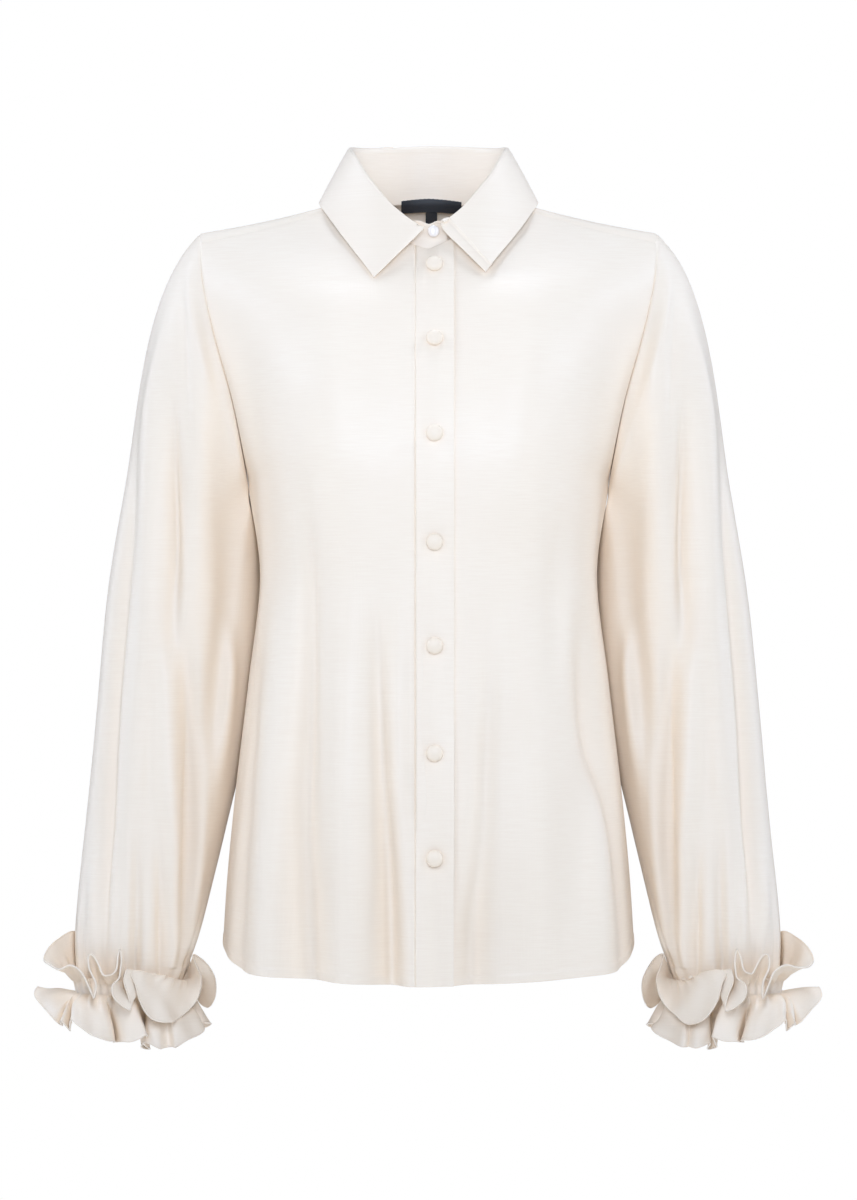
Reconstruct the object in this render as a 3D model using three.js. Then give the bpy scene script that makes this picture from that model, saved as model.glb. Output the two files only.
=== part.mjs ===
// A woman's long-sleeved wool blouse, worn shape, with nobody in it.
// Units are millimetres. +Z is up, the front faces -Y and the wearer's left is +X.
// The origin is midway between the two neck points of the shoulders, which carry the blouse.
//
// Pieces: two fronts, a button band, back, yoke, two sleeves, collar stand, collar, two ruffled
// cuffs, eight covered buttons, a woven label and a size tab. Every piece of cloth is a wall that
// follows one smooth surface, and neighbours stay a seam gap apart.

import * as THREE from "three";

// ---------------------------------------------------------------- driving dimensions

const CLOTH = 1.2; // body, sleeve and ruffle cloth, with its turnings
const DOUBLE_CLOTH = 1.6; // collar, stand and band, which are cut double
const LABEL_CLOTH = 0.6;
const SEAM_GAP = 0.3;

const NECK = { halfWidth: 66, front: -58, back: 56, frontZ: -42, sideZ: 1, backZ: 7.5 };
const YOKE_FRONT_ANGLE = 78; // where the yoke's front seam meets the neckline, in degrees from the front
const NECK_SHARE = 0.4; // share of a panel's top edge that is neckline; the rest is shoulder seam

const BAND = { from: -10.8, to: 21, lift: 2.1 }; // the button band, across the front
const RIGHT_FRONT_EDGE = -10.8;
const LEFT_FRONT_EDGE = -9.8;

const BUTTON = { radius: 7, height: 4.8, back: 1, x: 5 };
const LABEL = { from: -23, to: 28, height: 11.7 };
const SIZE_TAB = { from: -2.4, to: 7.4, height: 12, under: 2.5 }; // its top lies behind the label

// ---------------------------------------------------------------- tables

// The armhole of the wearer's left side, round from the top of the shoulder over the front to the
// underarm and up the back. at is in degrees along that way round.
const ARMHOLE = [
  { at: 0, x: 192.5, y: 3, z: -25 },
  { at: 45, x: 188.5, y: -34, z: -70 },
  { at: 80, x: 178, y: -54, z: -115 },
  { at: 115, x: 164, y: -59, z: -165 },
  { at: 145, x: 155, y: -44, z: -210 },
  { at: 180, x: 150.5, y: 0, z: -242 },
  { at: 215, x: 156, y: 47, z: -212 },
  { at: 245, x: 165, y: 66, z: -165 },
  { at: 280, x: 176, y: 64, z: -115 },
  { at: 315, x: 187, y: 42, z: -68 },
];

// Sections of the fronts. z and depth are at the centre front. A section ends at the side seam
// (sideX, sideZ) or, above the underarm, at the armhole angle given.
const FRONT_SECTIONS = [
  { name: "hem", z: -648, depth: 116, sideX: 172.5, sideZ: -617 },
  { name: "low hip", z: -575, depth: 115, sideX: 168.5, sideZ: -558 },
  { name: "hip", z: -490, depth: 114, sideX: 161, sideZ: -482 },
  { name: "high hip", z: -400, depth: 114, sideX: 151, sideZ: -398 },
  { name: "waist", z: -310, depth: 118, sideX: 141.5, sideZ: -312 },
  { name: "underarm", z: -245, depth: 124, armhole: 180 },
  { name: "bust", z: -205, depth: 124, armhole: 145 },
  { name: "cross front", z: -160, depth: 113, armhole: 115 },
  { name: "chest", z: -118, depth: 95, armhole: 80 },
  { name: "collarbone", z: -78, depth: 75, armhole: 45 },
];

// Sections of the back and, from the yoke seam up, of the yoke.
const BACK_SECTIONS = [
  { name: "hem", z: -655, depth: 106, sideX: 172.5, sideZ: -617 },
  { name: "low hip", z: -575, depth: 103, sideX: 168.5, sideZ: -558 },
  { name: "hip", z: -490, depth: 97, sideX: 161, sideZ: -482 },
  { name: "high hip", z: -400, depth: 90, sideX: 151, sideZ: -398 },
  { name: "waist", z: -310, depth: 87, sideX: 141.5, sideZ: -312 },
  { name: "underarm", z: -240, depth: 94, armhole: 180 },
  { name: "low blade", z: -200, depth: 98, armhole: 215 },
  { name: "blade", z: -155, depth: 100, armhole: 245 },
  { name: "yoke seam", z: -108, depth: 97, armhole: 280 },
];
const YOKE_SECTIONS = [
  { name: "yoke seam", z: -108, depth: 97, armhole: 280 },
  { name: "mid yoke", z: -66, depth: 91, armhole: 308 },
  { name: "high yoke", z: -27, depth: 80, armhole: 336 },
];

// Soft folds of the hanging cloth. at is the share of the way from the centre to the side, depth is
// how far a ridge stands out (a trough is negative), and the fold fades out at z = top.
const FRONT_FOLDS = {
  right: [
    { at: 0.2, width: 0.11, depth: -3.5, top: -330 },
    { at: 0.4, width: 0.13, depth: 4, top: -300 },
    { at: 0.6, width: 0.11, depth: -4, top: -260 },
    { at: 0.78, width: 0.11, depth: 2.5, top: -330 },
  ],
  left: [
    { at: 0.3, width: 0.13, depth: -3, top: -450 },
    { at: 0.55, width: 0.15, depth: 3, top: -380 },
    { at: 0.8, width: 0.12, depth: -3.5, top: -330 },
  ],
};
const BACK_FOLDS = [
  { at: 0.15, width: 0.12, depth: 3.5, top: -330 },
  { at: 0.42, width: 0.12, depth: -3.5, top: -260 },
  { at: 0.68, width: 0.12, depth: 4, top: -300 },
];

// Rings of the wearer's left sleeve below the cap. x and y are the ring's middle, halfWidth runs
// from body side to outer side, and tilt is how much higher the outer side is than the middle.
const SLEEVE_RINGS = [
  { name: "biceps", z: -262, x: 198.3, y: 34, halfWidth: 56.2, halfDepth: 62, tilt: 28 },
  { name: "above elbow", z: -340, x: 207.3, y: 38, halfWidth: 63.7, halfDepth: 60, tilt: 14 },
  { name: "elbow", z: -430, x: 217, y: 38, halfWidth: 64.5, halfDepth: 58, tilt: 7 },
  { name: "forearm", z: -520, x: 230.7, y: 26, halfWidth: 59.2, halfDepth: 54, tilt: 3 },
  { name: "low forearm", z: -600, x: 243.2, y: 10, halfWidth: 53.2, halfDepth: 47, tilt: 1 },
  { name: "above wrist", z: -634, x: 248, y: 2, halfWidth: 47.5, halfDepth: 38.3, tilt: 0 },
  { name: "wrist seam", z: -658, x: 251, y: 0, halfWidth: 41.5, halfDepth: 34, tilt: 0 },
];
const GATHERS = { count: 7, depth: 2.4, top: -500 };

// The ruffle is one strip, gathered along a line and standing out both ways from it. These are its
// two free edges, with a row for each crest and each trough: at is in degrees round the wrist from
// the outer side over the front, reach is how far it stands out from the wrist seam.
const UPPER_FRILL = [
  { at: 6, reach: 35, z: -634 },
  { at: 12, reach: 31, z: -641 },
  { at: 24, reach: 14, z: -631 },
  { at: 30, reach: 23, z: -646 },
  { at: 42, reach: 13, z: -629 },
  { at: 48, reach: 25, z: -650 },
  { at: 54, reach: 13, z: -630 },
  { at: 66, reach: 30, z: -660 },
  { at: 72, reach: 27, z: -657 },
  { at: 78, reach: 13, z: -627 },
  { at: 90, reach: 36, z: -665 },
  { at: 96, reach: 31, z: -660 },
  { at: 102, reach: 14, z: -637 },
  { at: 108, reach: 32, z: -660 },
  { at: 126, reach: 36, z: -665 },
  { at: 138, reach: 15, z: -638 },
  { at: 150, reach: 27, z: -656 },
  { at: 162, reach: 17, z: -640 },
  { at: 174, reach: 29, z: -648 },
  { at: 186, reach: 26, z: -640 },
  { at: 198, reach: 13, z: -630 },
  { at: 210, reach: 27, z: -652 },
  { at: 222, reach: 13, z: -628 },
  { at: 234, reach: 31, z: -656 },
  { at: 246, reach: 28, z: -653 },
  { at: 258, reach: 13, z: -628 },
  { at: 270, reach: 32, z: -658 },
  { at: 282, reach: 13, z: -629 },
  { at: 294, reach: 28, z: -652 },
  { at: 306, reach: 26, z: -648 },
  { at: 318, reach: 13, z: -626 },
  { at: 330, reach: 27, z: -640 },
  { at: 342, reach: 15, z: -622 },
  { at: 354, reach: 22, z: -618 },
];
const LOWER_FRILL = [
  { at: 6, reach: 38, z: -664 },
  { at: 18, reach: 26, z: -676 },
  { at: 30, reach: 16, z: -690 },
  { at: 36, reach: 32, z: -684 },
  { at: 42, reach: 17, z: -692 },
  { at: 54, reach: 36, z: -692 },
  { at: 66, reach: 34, z: -697 },
  { at: 78, reach: 38, z: -702 },
  { at: 84, reach: 16, z: -702 },
  { at: 90, reach: 35, z: -705 },
  { at: 102, reach: 34, z: -706 },
  { at: 108, reach: 16, z: -706 },
  { at: 114, reach: 36, z: -708 },
  { at: 126, reach: 32, z: -707 },
  { at: 138, reach: 38, z: -702 },
  { at: 150, reach: 14, z: -700 },
  { at: 162, reach: 21, z: -694 },
  { at: 180, reach: 16, z: -690 },
  { at: 198, reach: 22, z: -692 },
  { at: 210, reach: 13, z: -698 },
  { at: 222, reach: 35, z: -700 },
  { at: 240, reach: 36, z: -704 },
  { at: 252, reach: 17, z: -706 },
  { at: 258, reach: 35, z: -708 },
  { at: 276, reach: 37, z: -708 },
  { at: 282, reach: 17, z: -706 },
  { at: 294, reach: 35, z: -704 },
  { at: 312, reach: 36, z: -700 },
  { at: 318, reach: 17, z: -697 },
  { at: 330, reach: 32, z: -682 },
  { at: 342, reach: 16, z: -689 },
  { at: 354, reach: 33, z: -669 },
];
// How the strip runs from the gathering line (0) to a free edge (1): the share of the edge's reach
// and of its height that it has at each level, and how far it arches above that.
const UPPER_COURSE = [
  { level: 0, reach: 0.02, height: 0, arch: 0 },
  { level: 0.5, reach: 0.5, height: 0.4, arch: 8 },
  { level: 1, reach: 1, height: 1, arch: 0 },
];
const LOWER_COURSE = [
  { level: 0, reach: 0.02, height: 0, arch: 0 },
  { level: 0.28, reach: 0.46, height: 0.17, arch: 0 },
  { level: 0.62, reach: 0.84, height: 0.54, arch: 0 },
  { level: 1, reach: 1, height: 1, arch: 0 },
];
const GATHERING_LINE = { z: -655, off: 3.5 };
const FLUTE_STEP = 6; // degrees between the ruffle's columns, which fall on every crest and trough

// The collar round the neck, in degrees from the centre front: height of the fold, then the
// outer edge. The first row is the front edge, which ends in the collar's point.
const COLLAR = [
  { at: 0, foldZ: -25, edgeX: 45.5, edgeY: -73, edgeZ: -65 },
  { at: 20, foldZ: -11.5, edgeX: 53, edgeY: -65, edgeZ: -54 },
  { at: 42, foldZ: 12, edgeX: 67, edgeY: -48, edgeZ: -35.5 },
  { at: 68, foldZ: 38.5, edgeX: 83, edgeY: -27, edgeZ: -13 },
  { at: 95, foldZ: 48, edgeX: 92, edgeY: 4, edgeZ: 2 },
  { at: 125, foldZ: 50, edgeX: 82, edgeY: 48, edgeZ: 2 },
  { at: 155, foldZ: 52, edgeX: 45, edgeY: 77, edgeZ: -3 },
  { at: 180, foldZ: 53, edgeX: 0, edgeY: 84, edgeZ: -5 },
];

const BUTTONS = [
  { name: "button_1", z: -57 },
  { name: "button_2", z: -120 },
  { name: "button_3", z: -197 },
  { name: "button_4", z: -284 },
  { name: "button_5", z: -369 },
  { name: "button_6", z: -457 },
  { name: "button_7", z: -543 },
];

// ---------------------------------------------------------------- small mathematics

const rad = (degrees) => (degrees * Math.PI) / 180;
const lerp = (a, b, t) => a + (b - a) * t;
const smooth = (t) => t * t * (3 - 2 * t);
const clamp01 = (t) => Math.min(1, Math.max(0, t));

// A smooth curve through equally counted values: t runs from 0 to values.length - 1.
function through(values, t, ring = false) {
  const n = values.length;
  const i = Math.min(Math.floor(t), ring ? n - 1 : n - 2);
  const f = t - i;
  const pick = (k) => (ring ? values[(k + n) % n] : values[Math.min(n - 1, Math.max(0, k))]);
  const [a, b, c, d] = [pick(i - 1), pick(i), pick(i + 1), pick(i + 2)];
  return 0.5 * (2 * b + (c - a) * f + (2 * a - 5 * b + 4 * c - d) * f * f + (3 * b - a - 3 * c + d) * f ** 3);
}

// The same through points.
function pointThrough(points, t, ring = false) {
  const along = (axis) => through(points.map((p) => p[axis]), t, ring);
  return new THREE.Vector3(along("x"), along("y"), along("z"));
}

// The same through a column of points that turns a corner at one of them. sharpness 1 is a full
// corner, so that what lies beyond it has no pull on the curve before it.
function columnThrough(points, t, corner, sharpness) {
  const i = Math.min(Math.floor(t), points.length - 2);
  const beyond = i < corner ? corner + 1 : corner - 1;
  const before = i < corner ? corner - 1 : corner + 1;
  const straight = points[corner].clone().multiplyScalar(2).sub(points[before]);
  const bent = [...points];
  if (Math.abs(beyond - i - 0.5) < 2) bent[beyond] = points[beyond].clone().lerp(straight, sharpness);
  return pointThrough(bent, t);
}

// A column of a table of sections, read at an angle.
function atAngle(table, column, at) {
  let i = 0;
  while (i < table.length - 2 && table[i + 1].at <= at) i += 1;
  const share = clamp01((at - table[i].at) / (table[i + 1].at - table[i].at));
  return through(table.map((row) => row[column]), i + share);
}

// ---------------------------------------------------------------- the surfaces

// A point of the neckline, angle in degrees from the centre front towards the wearer's left.
function neckline(angle) {
  const turn = rad(angle);
  const across = Math.abs(Math.sin(turn));
  const inFront = Math.cos(turn) > 0;
  const middle = 2;
  const depth = inFront ? middle - NECK.front : NECK.back - middle;
  return new THREE.Vector3(
    NECK.halfWidth * Math.sin(turn),
    middle - depth * Math.cos(turn),
    inFront
      ? lerp(NECK.frontZ, NECK.sideZ, across ** 1.3)
      : lerp(NECK.backZ, NECK.sideZ, across ** 1.3),
  );
}

// A point of the wearer's left armhole, angle in degrees as in ARMHOLE.
function armhole(angle) {
  const turn = ((angle % 360) + 360) % 360;
  let i = 0;
  while (i < ARMHOLE.length - 1 && ARMHOLE[i + 1].at <= turn) i += 1;
  const end = i + 1 < ARMHOLE.length ? ARMHOLE[i + 1].at : 360;
  return pointThrough(ARMHOLE, i + (turn - ARMHOLE[i].at) / (end - ARMHOLE[i].at), true);
}

// How high the hem's curve has risen at a share of the way from the centre to the side seam.
const hemRise = (share) => 0.42 * share ** 1.6 + 0.58 * share ** 10;

const ROUNDNESS = 2.3; // 2 is an ellipse, more is squarer

// Where a section ends at the side, and the angle it has turned through by then.
function sectionEnd(section, facing) {
  const edge =
    section.armhole === undefined
      ? new THREE.Vector3(section.sideX, 0, section.sideZ)
      : armhole(section.armhole);
  const depth = Math.max(0, facing * edge.y);
  return { edge, depth, turn: Math.atan2(edge.x, depth) };
}

// A point of one section, facing -1 for the front and +1 for the back. share runs from the centre
// (0) to the side seam or armhole (1); a small negative share lies past the centre.
function sectionPoint(section, facing, share) {
  const end = sectionEnd(section, facing);
  const width = end.edge.x / (1 - (end.depth / section.depth) ** ROUNDNESS) ** (1 / ROUNDNESS);
  const turn = share * end.turn;
  const [s, c] = [Math.abs(Math.sin(turn)), Math.cos(turn)];
  const radius = ((c / section.depth) ** ROUNDNESS + (s / width) ** ROUNDNESS) ** (-1 / ROUNDNESS);
  const rise = section.name === "hem" ? hemRise(Math.abs(share)) : share ** 2;
  const past = end.depth ? 0 : end.edge.y * share ** 4;
  return new THREE.Vector3(
    Math.sign(turn) * radius * s,
    facing * radius * c + past,
    lerp(section.z, end.edge.z, rise),
  );
}

// The row of the underarm in both tables, where the side seam turns into the armhole.
const UNDERARM_ROW = FRONT_SECTIONS.findIndex((section) => section.name === "underarm");

// The top edge of the fronts: neckline, then the yoke's front seam out to the armhole.
const YOKE_FRONT_ARMHOLE = 14;
function frontTop(share) {
  if (share <= NECK_SHARE) return neckline((share / NECK_SHARE) * YOKE_FRONT_ANGLE);
  const along = (share - NECK_SHARE) / (1 - NECK_SHARE);
  const seam = neckline(YOKE_FRONT_ANGLE).lerp(armhole(YOKE_FRONT_ARMHOLE), along);
  seam.z -= 2.5 * Math.sin(Math.PI * along);
  seam.y -= 4 * Math.sin(Math.PI * along);
  return seam;
}

function foldDepth(folds, share, z) {
  let depth = 0;
  for (const fold of folds) {
    const across = (share - fold.at) / fold.width;
    if (Math.abs(across) >= 1) continue;
    const down = clamp01((fold.top - z) / 260);
    depth += fold.depth * smooth(down) * Math.cos((across * Math.PI) / 2) ** 2;
  }
  return depth;
}

// Pushes a point out from the body's axis by the depth of the folds there.
function withFolds(point, folds, share) {
  const out = new THREE.Vector3(point.x, point.y, 0).normalize();
  return point.addScaledVector(out, foldDepth(folds, share, point.z));
}

// A point of the front: share across, level from 0 (hem) to 1 (neckline and shoulder seam).
function frontSurface(share, level, side) {
  const shoulder = frontTop(Math.max(0, share));
  if (share < 0) shoulder.x = neckline((share / NECK_SHARE) * YOKE_FRONT_ANGLE).x;
  const column = [...FRONT_SECTIONS.map((s) => sectionPoint(s, -1, share)), shoulder];
  const point = columnThrough(column, level * (column.length - 1), UNDERARM_ROW, share ** 6);
  return withFolds(point, FRONT_FOLDS[side], share);
}

function backSurface(share, level) {
  const column = BACK_SECTIONS.map((s) => sectionPoint(s, 1, Math.abs(share)));
  const point = columnThrough(column, level * (column.length - 1), UNDERARM_ROW, share ** 6);
  point.x *= Math.sign(share) || 1;
  return withFolds(point, BACK_FOLDS, Math.abs(share));
}

// The yoke's last two rows: beside the neck they close in on the neckline, and beyond it they are
// the ridge of the shoulder and the front seam.
function yokeRidge(share) {
  if (share > NECK_SHARE) {
    const along = (share - NECK_SHARE) / (1 - NECK_SHARE);
    const ridge = neckline(90).lerp(armhole(0), along);
    ridge.z += 0.5 - 2 * Math.sin(Math.PI * along);
    return ridge;
  }
  const angle = lerp(180, 90, share / NECK_SHARE);
  const away = 12 * (1 - (share / NECK_SHARE) ** 2);
  const point = neckline(angle);
  return point.add(new THREE.Vector3(Math.sin(rad(angle)) * away, -Math.cos(rad(angle)) * away, -0.4 * away));
}

function yokeEnd(share) {
  if (share > NECK_SHARE) return frontTop(share);
  return neckline(lerp(180, YOKE_FRONT_ANGLE, share / NECK_SHARE));
}

function yokeSurface(share, level) {
  const out = Math.abs(share);
  const below = out ** 0.8; // spreads the columns of the lower rows to meet those round the neck
  const column = [...YOKE_SECTIONS.map((s) => sectionPoint(s, 1, below)), yokeRidge(out), yokeEnd(out)];
  const point = pointThrough(column, level * (column.length - 1));
  point.x *= Math.sign(share) || 1;
  return point;
}

const WRIST = SLEEVE_RINGS[SLEEVE_RINGS.length - 1];

// A ring of the wearer's left sleeve below the cap.
function sleeveRing(ring, angle) {
  const turn = rad(angle);
  return new THREE.Vector3(
    ring.x + ring.halfWidth * Math.cos(turn),
    ring.y - ring.halfDepth * Math.sin(turn),
    ring.z + ring.tilt * Math.cos(turn),
  );
}

// A point of the left sleeve: angle as in ARMHOLE, level from 0 (armhole) to 1 (wrist seam).
const CAP_SHARE = 0.36;
function sleeveSurface(angle, level) {
  const turn = rad(angle);
  const rings = SLEEVE_RINGS.map((ring) => sleeveRing(ring, angle));
  if (level >= CAP_SHARE) {
    const t = ((level - CAP_SHARE) / (1 - CAP_SHARE)) * (rings.length - 1);
    const point = pointThrough(rings, t);
    const depth = GATHERS.depth * smooth(clamp01((GATHERS.top - point.z) / 120));
    const end = clamp01((level - 0.9) / 0.1);
    const out = new THREE.Vector3(Math.cos(turn), -Math.sin(turn), 0);
    return point.addScaledVector(out, depth * (1 - 0.7 * end) * Math.cos(GATHERS.count * turn));
  }
  // The cap leaves the armhole outwards and bends over into the hanging sleeve.
  const start = armhole(angle);
  const end = rings[0];
  const reach = start.distanceTo(end);
  const upper = (1 + Math.cos(turn)) / 2;
  const outX = 0.2 + 0.95 * upper - 0.42 * upper ** 2;
  const outY = -0.22 * Math.sin(turn);
  const leave = new THREE.Vector3(outX, outY, -Math.sqrt(1 - outX ** 2 - outY ** 2));
  start.addScaledVector(leave, SEAM_GAP);
  start.x += 2 * SEAM_GAP;
  leave.multiplyScalar(reach * lerp(0.5, 0.86, upper));
  const arrive = rings[1].clone().sub(end).normalize().multiplyScalar(reach * 0.95);
  const t = level / CAP_SHARE;
  return start
    .multiplyScalar(2 * t ** 3 - 3 * t ** 2 + 1)
    .addScaledVector(leave, t ** 3 - 2 * t ** 2 + t)
    .addScaledVector(end, -2 * t ** 3 + 3 * t ** 2)
    .addScaledVector(arrive, t ** 3 - t ** 2);
}

// A column of a ring of rows, read at an angle in degrees.
function roundRing(table, column, angle) {
  const turn = (((angle - table[0].at) % 360) + 360) % 360;
  let i = 0;
  while (i < table.length - 1 && table[i + 1].at - table[0].at <= turn) i += 1;
  const next = i + 1 < table.length ? table[i + 1].at : table[0].at + 360;
  const share = (turn - (table[i].at - table[0].at)) / (next - table[i].at);
  return lerp(table[i][column], table[(i + 1) % table.length][column], smooth(share));
}

function along(course, column, level) {
  let i = 0;
  while (i < course.length - 2 && course[i + 1].level <= level) i += 1;
  const share = (level - course[i].level) / (course[i + 1].level - course[i].level);
  return through(course.map((row) => row[column]), i + share);
}

// A point of the left ruffle: angle in degrees round the wrist, level from -1 (upper free edge)
// over 0 (gathering line) to 1 (lower free edge).
function ruffleSurface(angle, level) {
  const [edge, course] = level < 0 ? [UPPER_FRILL, UPPER_COURSE] : [LOWER_FRILL, LOWER_COURSE];
  const away = Math.abs(level);
  const lean = level < 0 ? 3 * away : 0; // the upper frill leans in with the sleeve
  const rise = roundRing(edge, "z", angle) - GATHERING_LINE.z;
  const out = GATHERING_LINE.off + roundRing(edge, "reach", angle) * along(course, "reach", away);
  const turn = rad(angle);
  return new THREE.Vector3(
    WRIST.x - lean + (WRIST.halfWidth + out) * Math.cos(turn),
    WRIST.y + lean - (WRIST.halfDepth + out) * Math.sin(turn),
    GATHERING_LINE.z + rise * along(course, "height", away) + along(course, "arch", away),
  );
}

// ---------------------------------------------------------------- collar

const STAND_CLEARANCE = 2.4; // above the neckline
const STAND_UNDER_END = -8; // degrees past the centre front, under the other end
const STAND_OVER_END = 374;
const COLLAR_RIGHT_END = 10.4; // degrees, either side of the throat button
const COLLAR_LEFT_END = 356.2;

// The angle from the centre front on either side of the neck, for the tables.
const fromFront = (angle) => Math.max(0, angle > 180 ? 360 - angle : angle);

function foldLine(angle) {
  const turn = rad(angle);
  const at = fromFront(angle);
  const middle = 1;
  const depth = at < 90 ? 60 : 50;
  return new THREE.Vector3(
    64.5 * Math.sin(turn),
    middle - depth * Math.cos(turn),
    atAngle(COLLAR, "foldZ", at),
  );
}

// How near a point is to the centre front, from 0 to 1. There the stand's ends rise past the
// collar's fold, and the collar starts outside them.
const nearThroat = (angle) => smooth(clamp01((17 - fromFront(angle)) / 12));

// The stand rises from just above the neckline to just under the collar's fold.
function standSurface(angle, level) {
  const foot = neckline(angle);
  foot.z += STAND_CLEARANCE;
  const top = foldLine(angle);
  top.z += 6.5 * nearThroat(angle) - 4.1;
  const point = foot.lerp(top, level);
  const out = new THREE.Vector3(Math.sin(rad(angle)), -Math.cos(rad(angle)), 0);
  const bow = -1.5 * Math.sin(Math.PI * level);
  const under = -2.9 * smooth(clamp01((45 - angle) / 30));
  return point.addScaledVector(out, bow + under);
}

// The collar from inside the fold, over it and down to the outer edge.
const ROLL = [
  { out: -0.6, up: -1.2 },
  { out: 1.4, up: 0 },
  { out: 4.6, up: -2.6 },
];
function collarSurface(angle, level) {
  const at = fromFront(angle);
  const side = angle > 180 ? -1 : 1;
  const fold = foldLine(angle);
  const out = new THREE.Vector3(Math.sin(rad(angle)), -Math.cos(rad(angle)), 0);
  const past = 2.9 * nearThroat(angle);
  const rolled = ROLL.map((r) => fold.clone().addScaledVector(out, r.out + past).setZ(fold.z + r.up));
  const edge = new THREE.Vector3(
    side * atAngle(COLLAR, "edgeX", at),
    atAngle(COLLAR, "edgeY", at),
    atAngle(COLLAR, "edgeZ", at),
  );
  const start = rolled[2];
  const middle = start.clone().lerp(edge, 0.5).addScaledVector(out, 2.5);
  return pointThrough([...rolled, middle, edge], level * 4);
}

// ---------------------------------------------------------------- making walls

// A wall of cloth on a surface point(u, v). us and vs are the grid's lines. facing is 1 where the
// outside is on the side of du x dv, and -1 where it is on the other. The outer face lies lift
// above the surface. A ring closes on itself in u.
function clothWall(point, { us, vs, thickness, facing = 1, lift = 0, ring = false }) {
  const across = us.length;
  const grid = vs.map((v) => us.map((u) => point(u, v)));
  const near = (i, j) => {
    if (j < 0 || j >= vs.length || (!ring && (i < 0 || i >= across))) return null;
    return grid[j][(i + across) % across];
  };
  // The mean of the directions that the up to four meshes round a grid point face.
  const outwardAt = (i, j) => {
    const sum = new THREE.Vector3();
    for (const [a, b] of [[1, 1], [-1, 1], [-1, -1], [1, -1]]) {
      const [du, dv] = [near(i + a, j), near(i, j + b)];
      if (!du || !dv) continue;
      const face = du.clone().sub(grid[j][i]).cross(dv.clone().sub(grid[j][i]));
      sum.addScaledVector(face.normalize(), a * b);
    }
    return sum.normalize().multiplyScalar(facing);
  };
  const positions = [];
  for (const depth of [lift, lift - thickness]) {
    grid.forEach((row, j) =>
      row.forEach((at, i) => positions.push(...at.clone().addScaledVector(outwardAt(i, j), depth))),
    );
  }
  const layer = across * vs.length;
  const indices = [];
  const quad = (a, b, c, d) => {
    if (facing > 0) indices.push(a, b, c, a, c, d);
    else indices.push(a, c, b, a, d, c);
  };
  const spans = ring ? across : across - 1;
  for (let j = 0; j < vs.length - 1; j += 1) {
    for (let i = 0; i < spans; i += 1) {
      const next = (i + 1) % across;
      const [a, b] = [j * across + i, j * across + next];
      const [c, d] = [b + across, a + across];
      quad(a, b, c, d);
      quad(c + layer, b + layer, a + layer, d + layer); // both faces fold along the same diagonal
    }
  }
  const rim = (a, b) => quad(a, b, b + layer, a + layer);
  const last = (vs.length - 1) * across;
  for (let i = 0; i < spans; i += 1) {
    const next = (i + 1) % across;
    rim(next, i);
    rim(last + i, last + next);
  }
  if (!ring) {
    for (let j = 0; j < vs.length - 1; j += 1) {
      rim(j * across, (j + 1) * across);
      rim((j + 2) * across - 1, (j + 1) * across - 1);
    }
  }
  const geometry = new THREE.BufferGeometry();
  geometry.setAttribute("position", new THREE.Float32BufferAttribute(positions, 3));
  geometry.setIndex(indices);
  geometry.computeVertexNormals();
  return geometry;
}

// count + 1 equally spaced lines from a to b.
const lines = (a, b, count) => Array.from({ length: count + 1 }, (_, i) => lerp(a, b, i / count));
// count equally spaced angles round a ring.
const turns = (count) => Array.from({ length: count }, (_, i) => (i * 360) / count);

const mirrored = (surface) => (u, v) => {
  const point = surface(u, v);
  point.x = -point.x;
  return point;
};

// ---------------------------------------------------------------- materials

const ivory = new THREE.MeshStandardMaterial({ color: 0xf6f1e9, roughness: 0.55, metalness: 0 });
const woven = new THREE.MeshStandardMaterial({ color: 0x26262a, roughness: 0.8, metalness: 0 });

const blouse = new THREE.Group();
blouse.name = "wool_blouse";

function add(name, geometry, material = ivory) {
  const mesh = new THREE.Mesh(geometry, material.clone());
  mesh.name = name;
  blouse.add(mesh);
  return mesh;
}

// ---------------------------------------------------------------- fronts and button band

const EDGE_INSET = 0.0016; // of a panel's width, which keeps it half a seam gap from the next
const FRONT_LEVELS = [0, 0.1, 0.2, 0.3, 0.4, 0.48, 0.56, 0.64, 0.72, 0.8, 0.86, 0.92, 0.96, 0.997];

// The share at which a front reaches x millimetres from the centre, by Newton's method.
function shareAt(x, level, side) {
  let share = 0.06;
  for (let i = 0; i < 6; i += 1) {
    const here = frontSurface(share, level, side).x;
    share += ((x - here) * 1e-3) / (frontSurface(share + 1e-3, level, side).x - here);
  }
  return share;
}

// The surface of a front, with u from a straight edge at x to the side.
const frontFrom = (x, side) => (u, level) =>
  frontSurface(lerp(shareAt(x, level, side), 1 - EDGE_INSET, u), level, side);

const FRONT_COLUMNS = [0, 0.05, 0.1, 0.17, 0.27, 0.37, 0.5, 0.62, 0.74, 0.87, 1];
add(
  "front_left",
  clothWall(frontFrom(LEFT_FRONT_EDGE, "left"), {
    us: FRONT_COLUMNS,
    vs: FRONT_LEVELS,
    thickness: CLOTH,
  }),
);
add(
  "front_right",
  clothWall(mirrored(frontFrom(-RIGHT_FRONT_EDGE, "right")), {
    us: FRONT_COLUMNS,
    vs: FRONT_LEVELS,
    thickness: CLOTH,
    facing: -1,
  }),
);

// The front's surface near the centre, at a distance x across.
function centreFront(x, level) {
  const side = x > 0 ? "left" : "right";
  const surface = frontFrom(Math.abs(x), side);
  const point = surface(0, level);
  if (x < 0) point.x = -point.x;
  return point;
}
add(
  "button_band",
  clothWall(centreFront, {
    us: lines(BAND.from, BAND.to, 3),
    vs: FRONT_LEVELS,
    thickness: DOUBLE_CLOTH,
    lift: BAND.lift,
  }),
);

// ---------------------------------------------------------------- back and yoke

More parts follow.
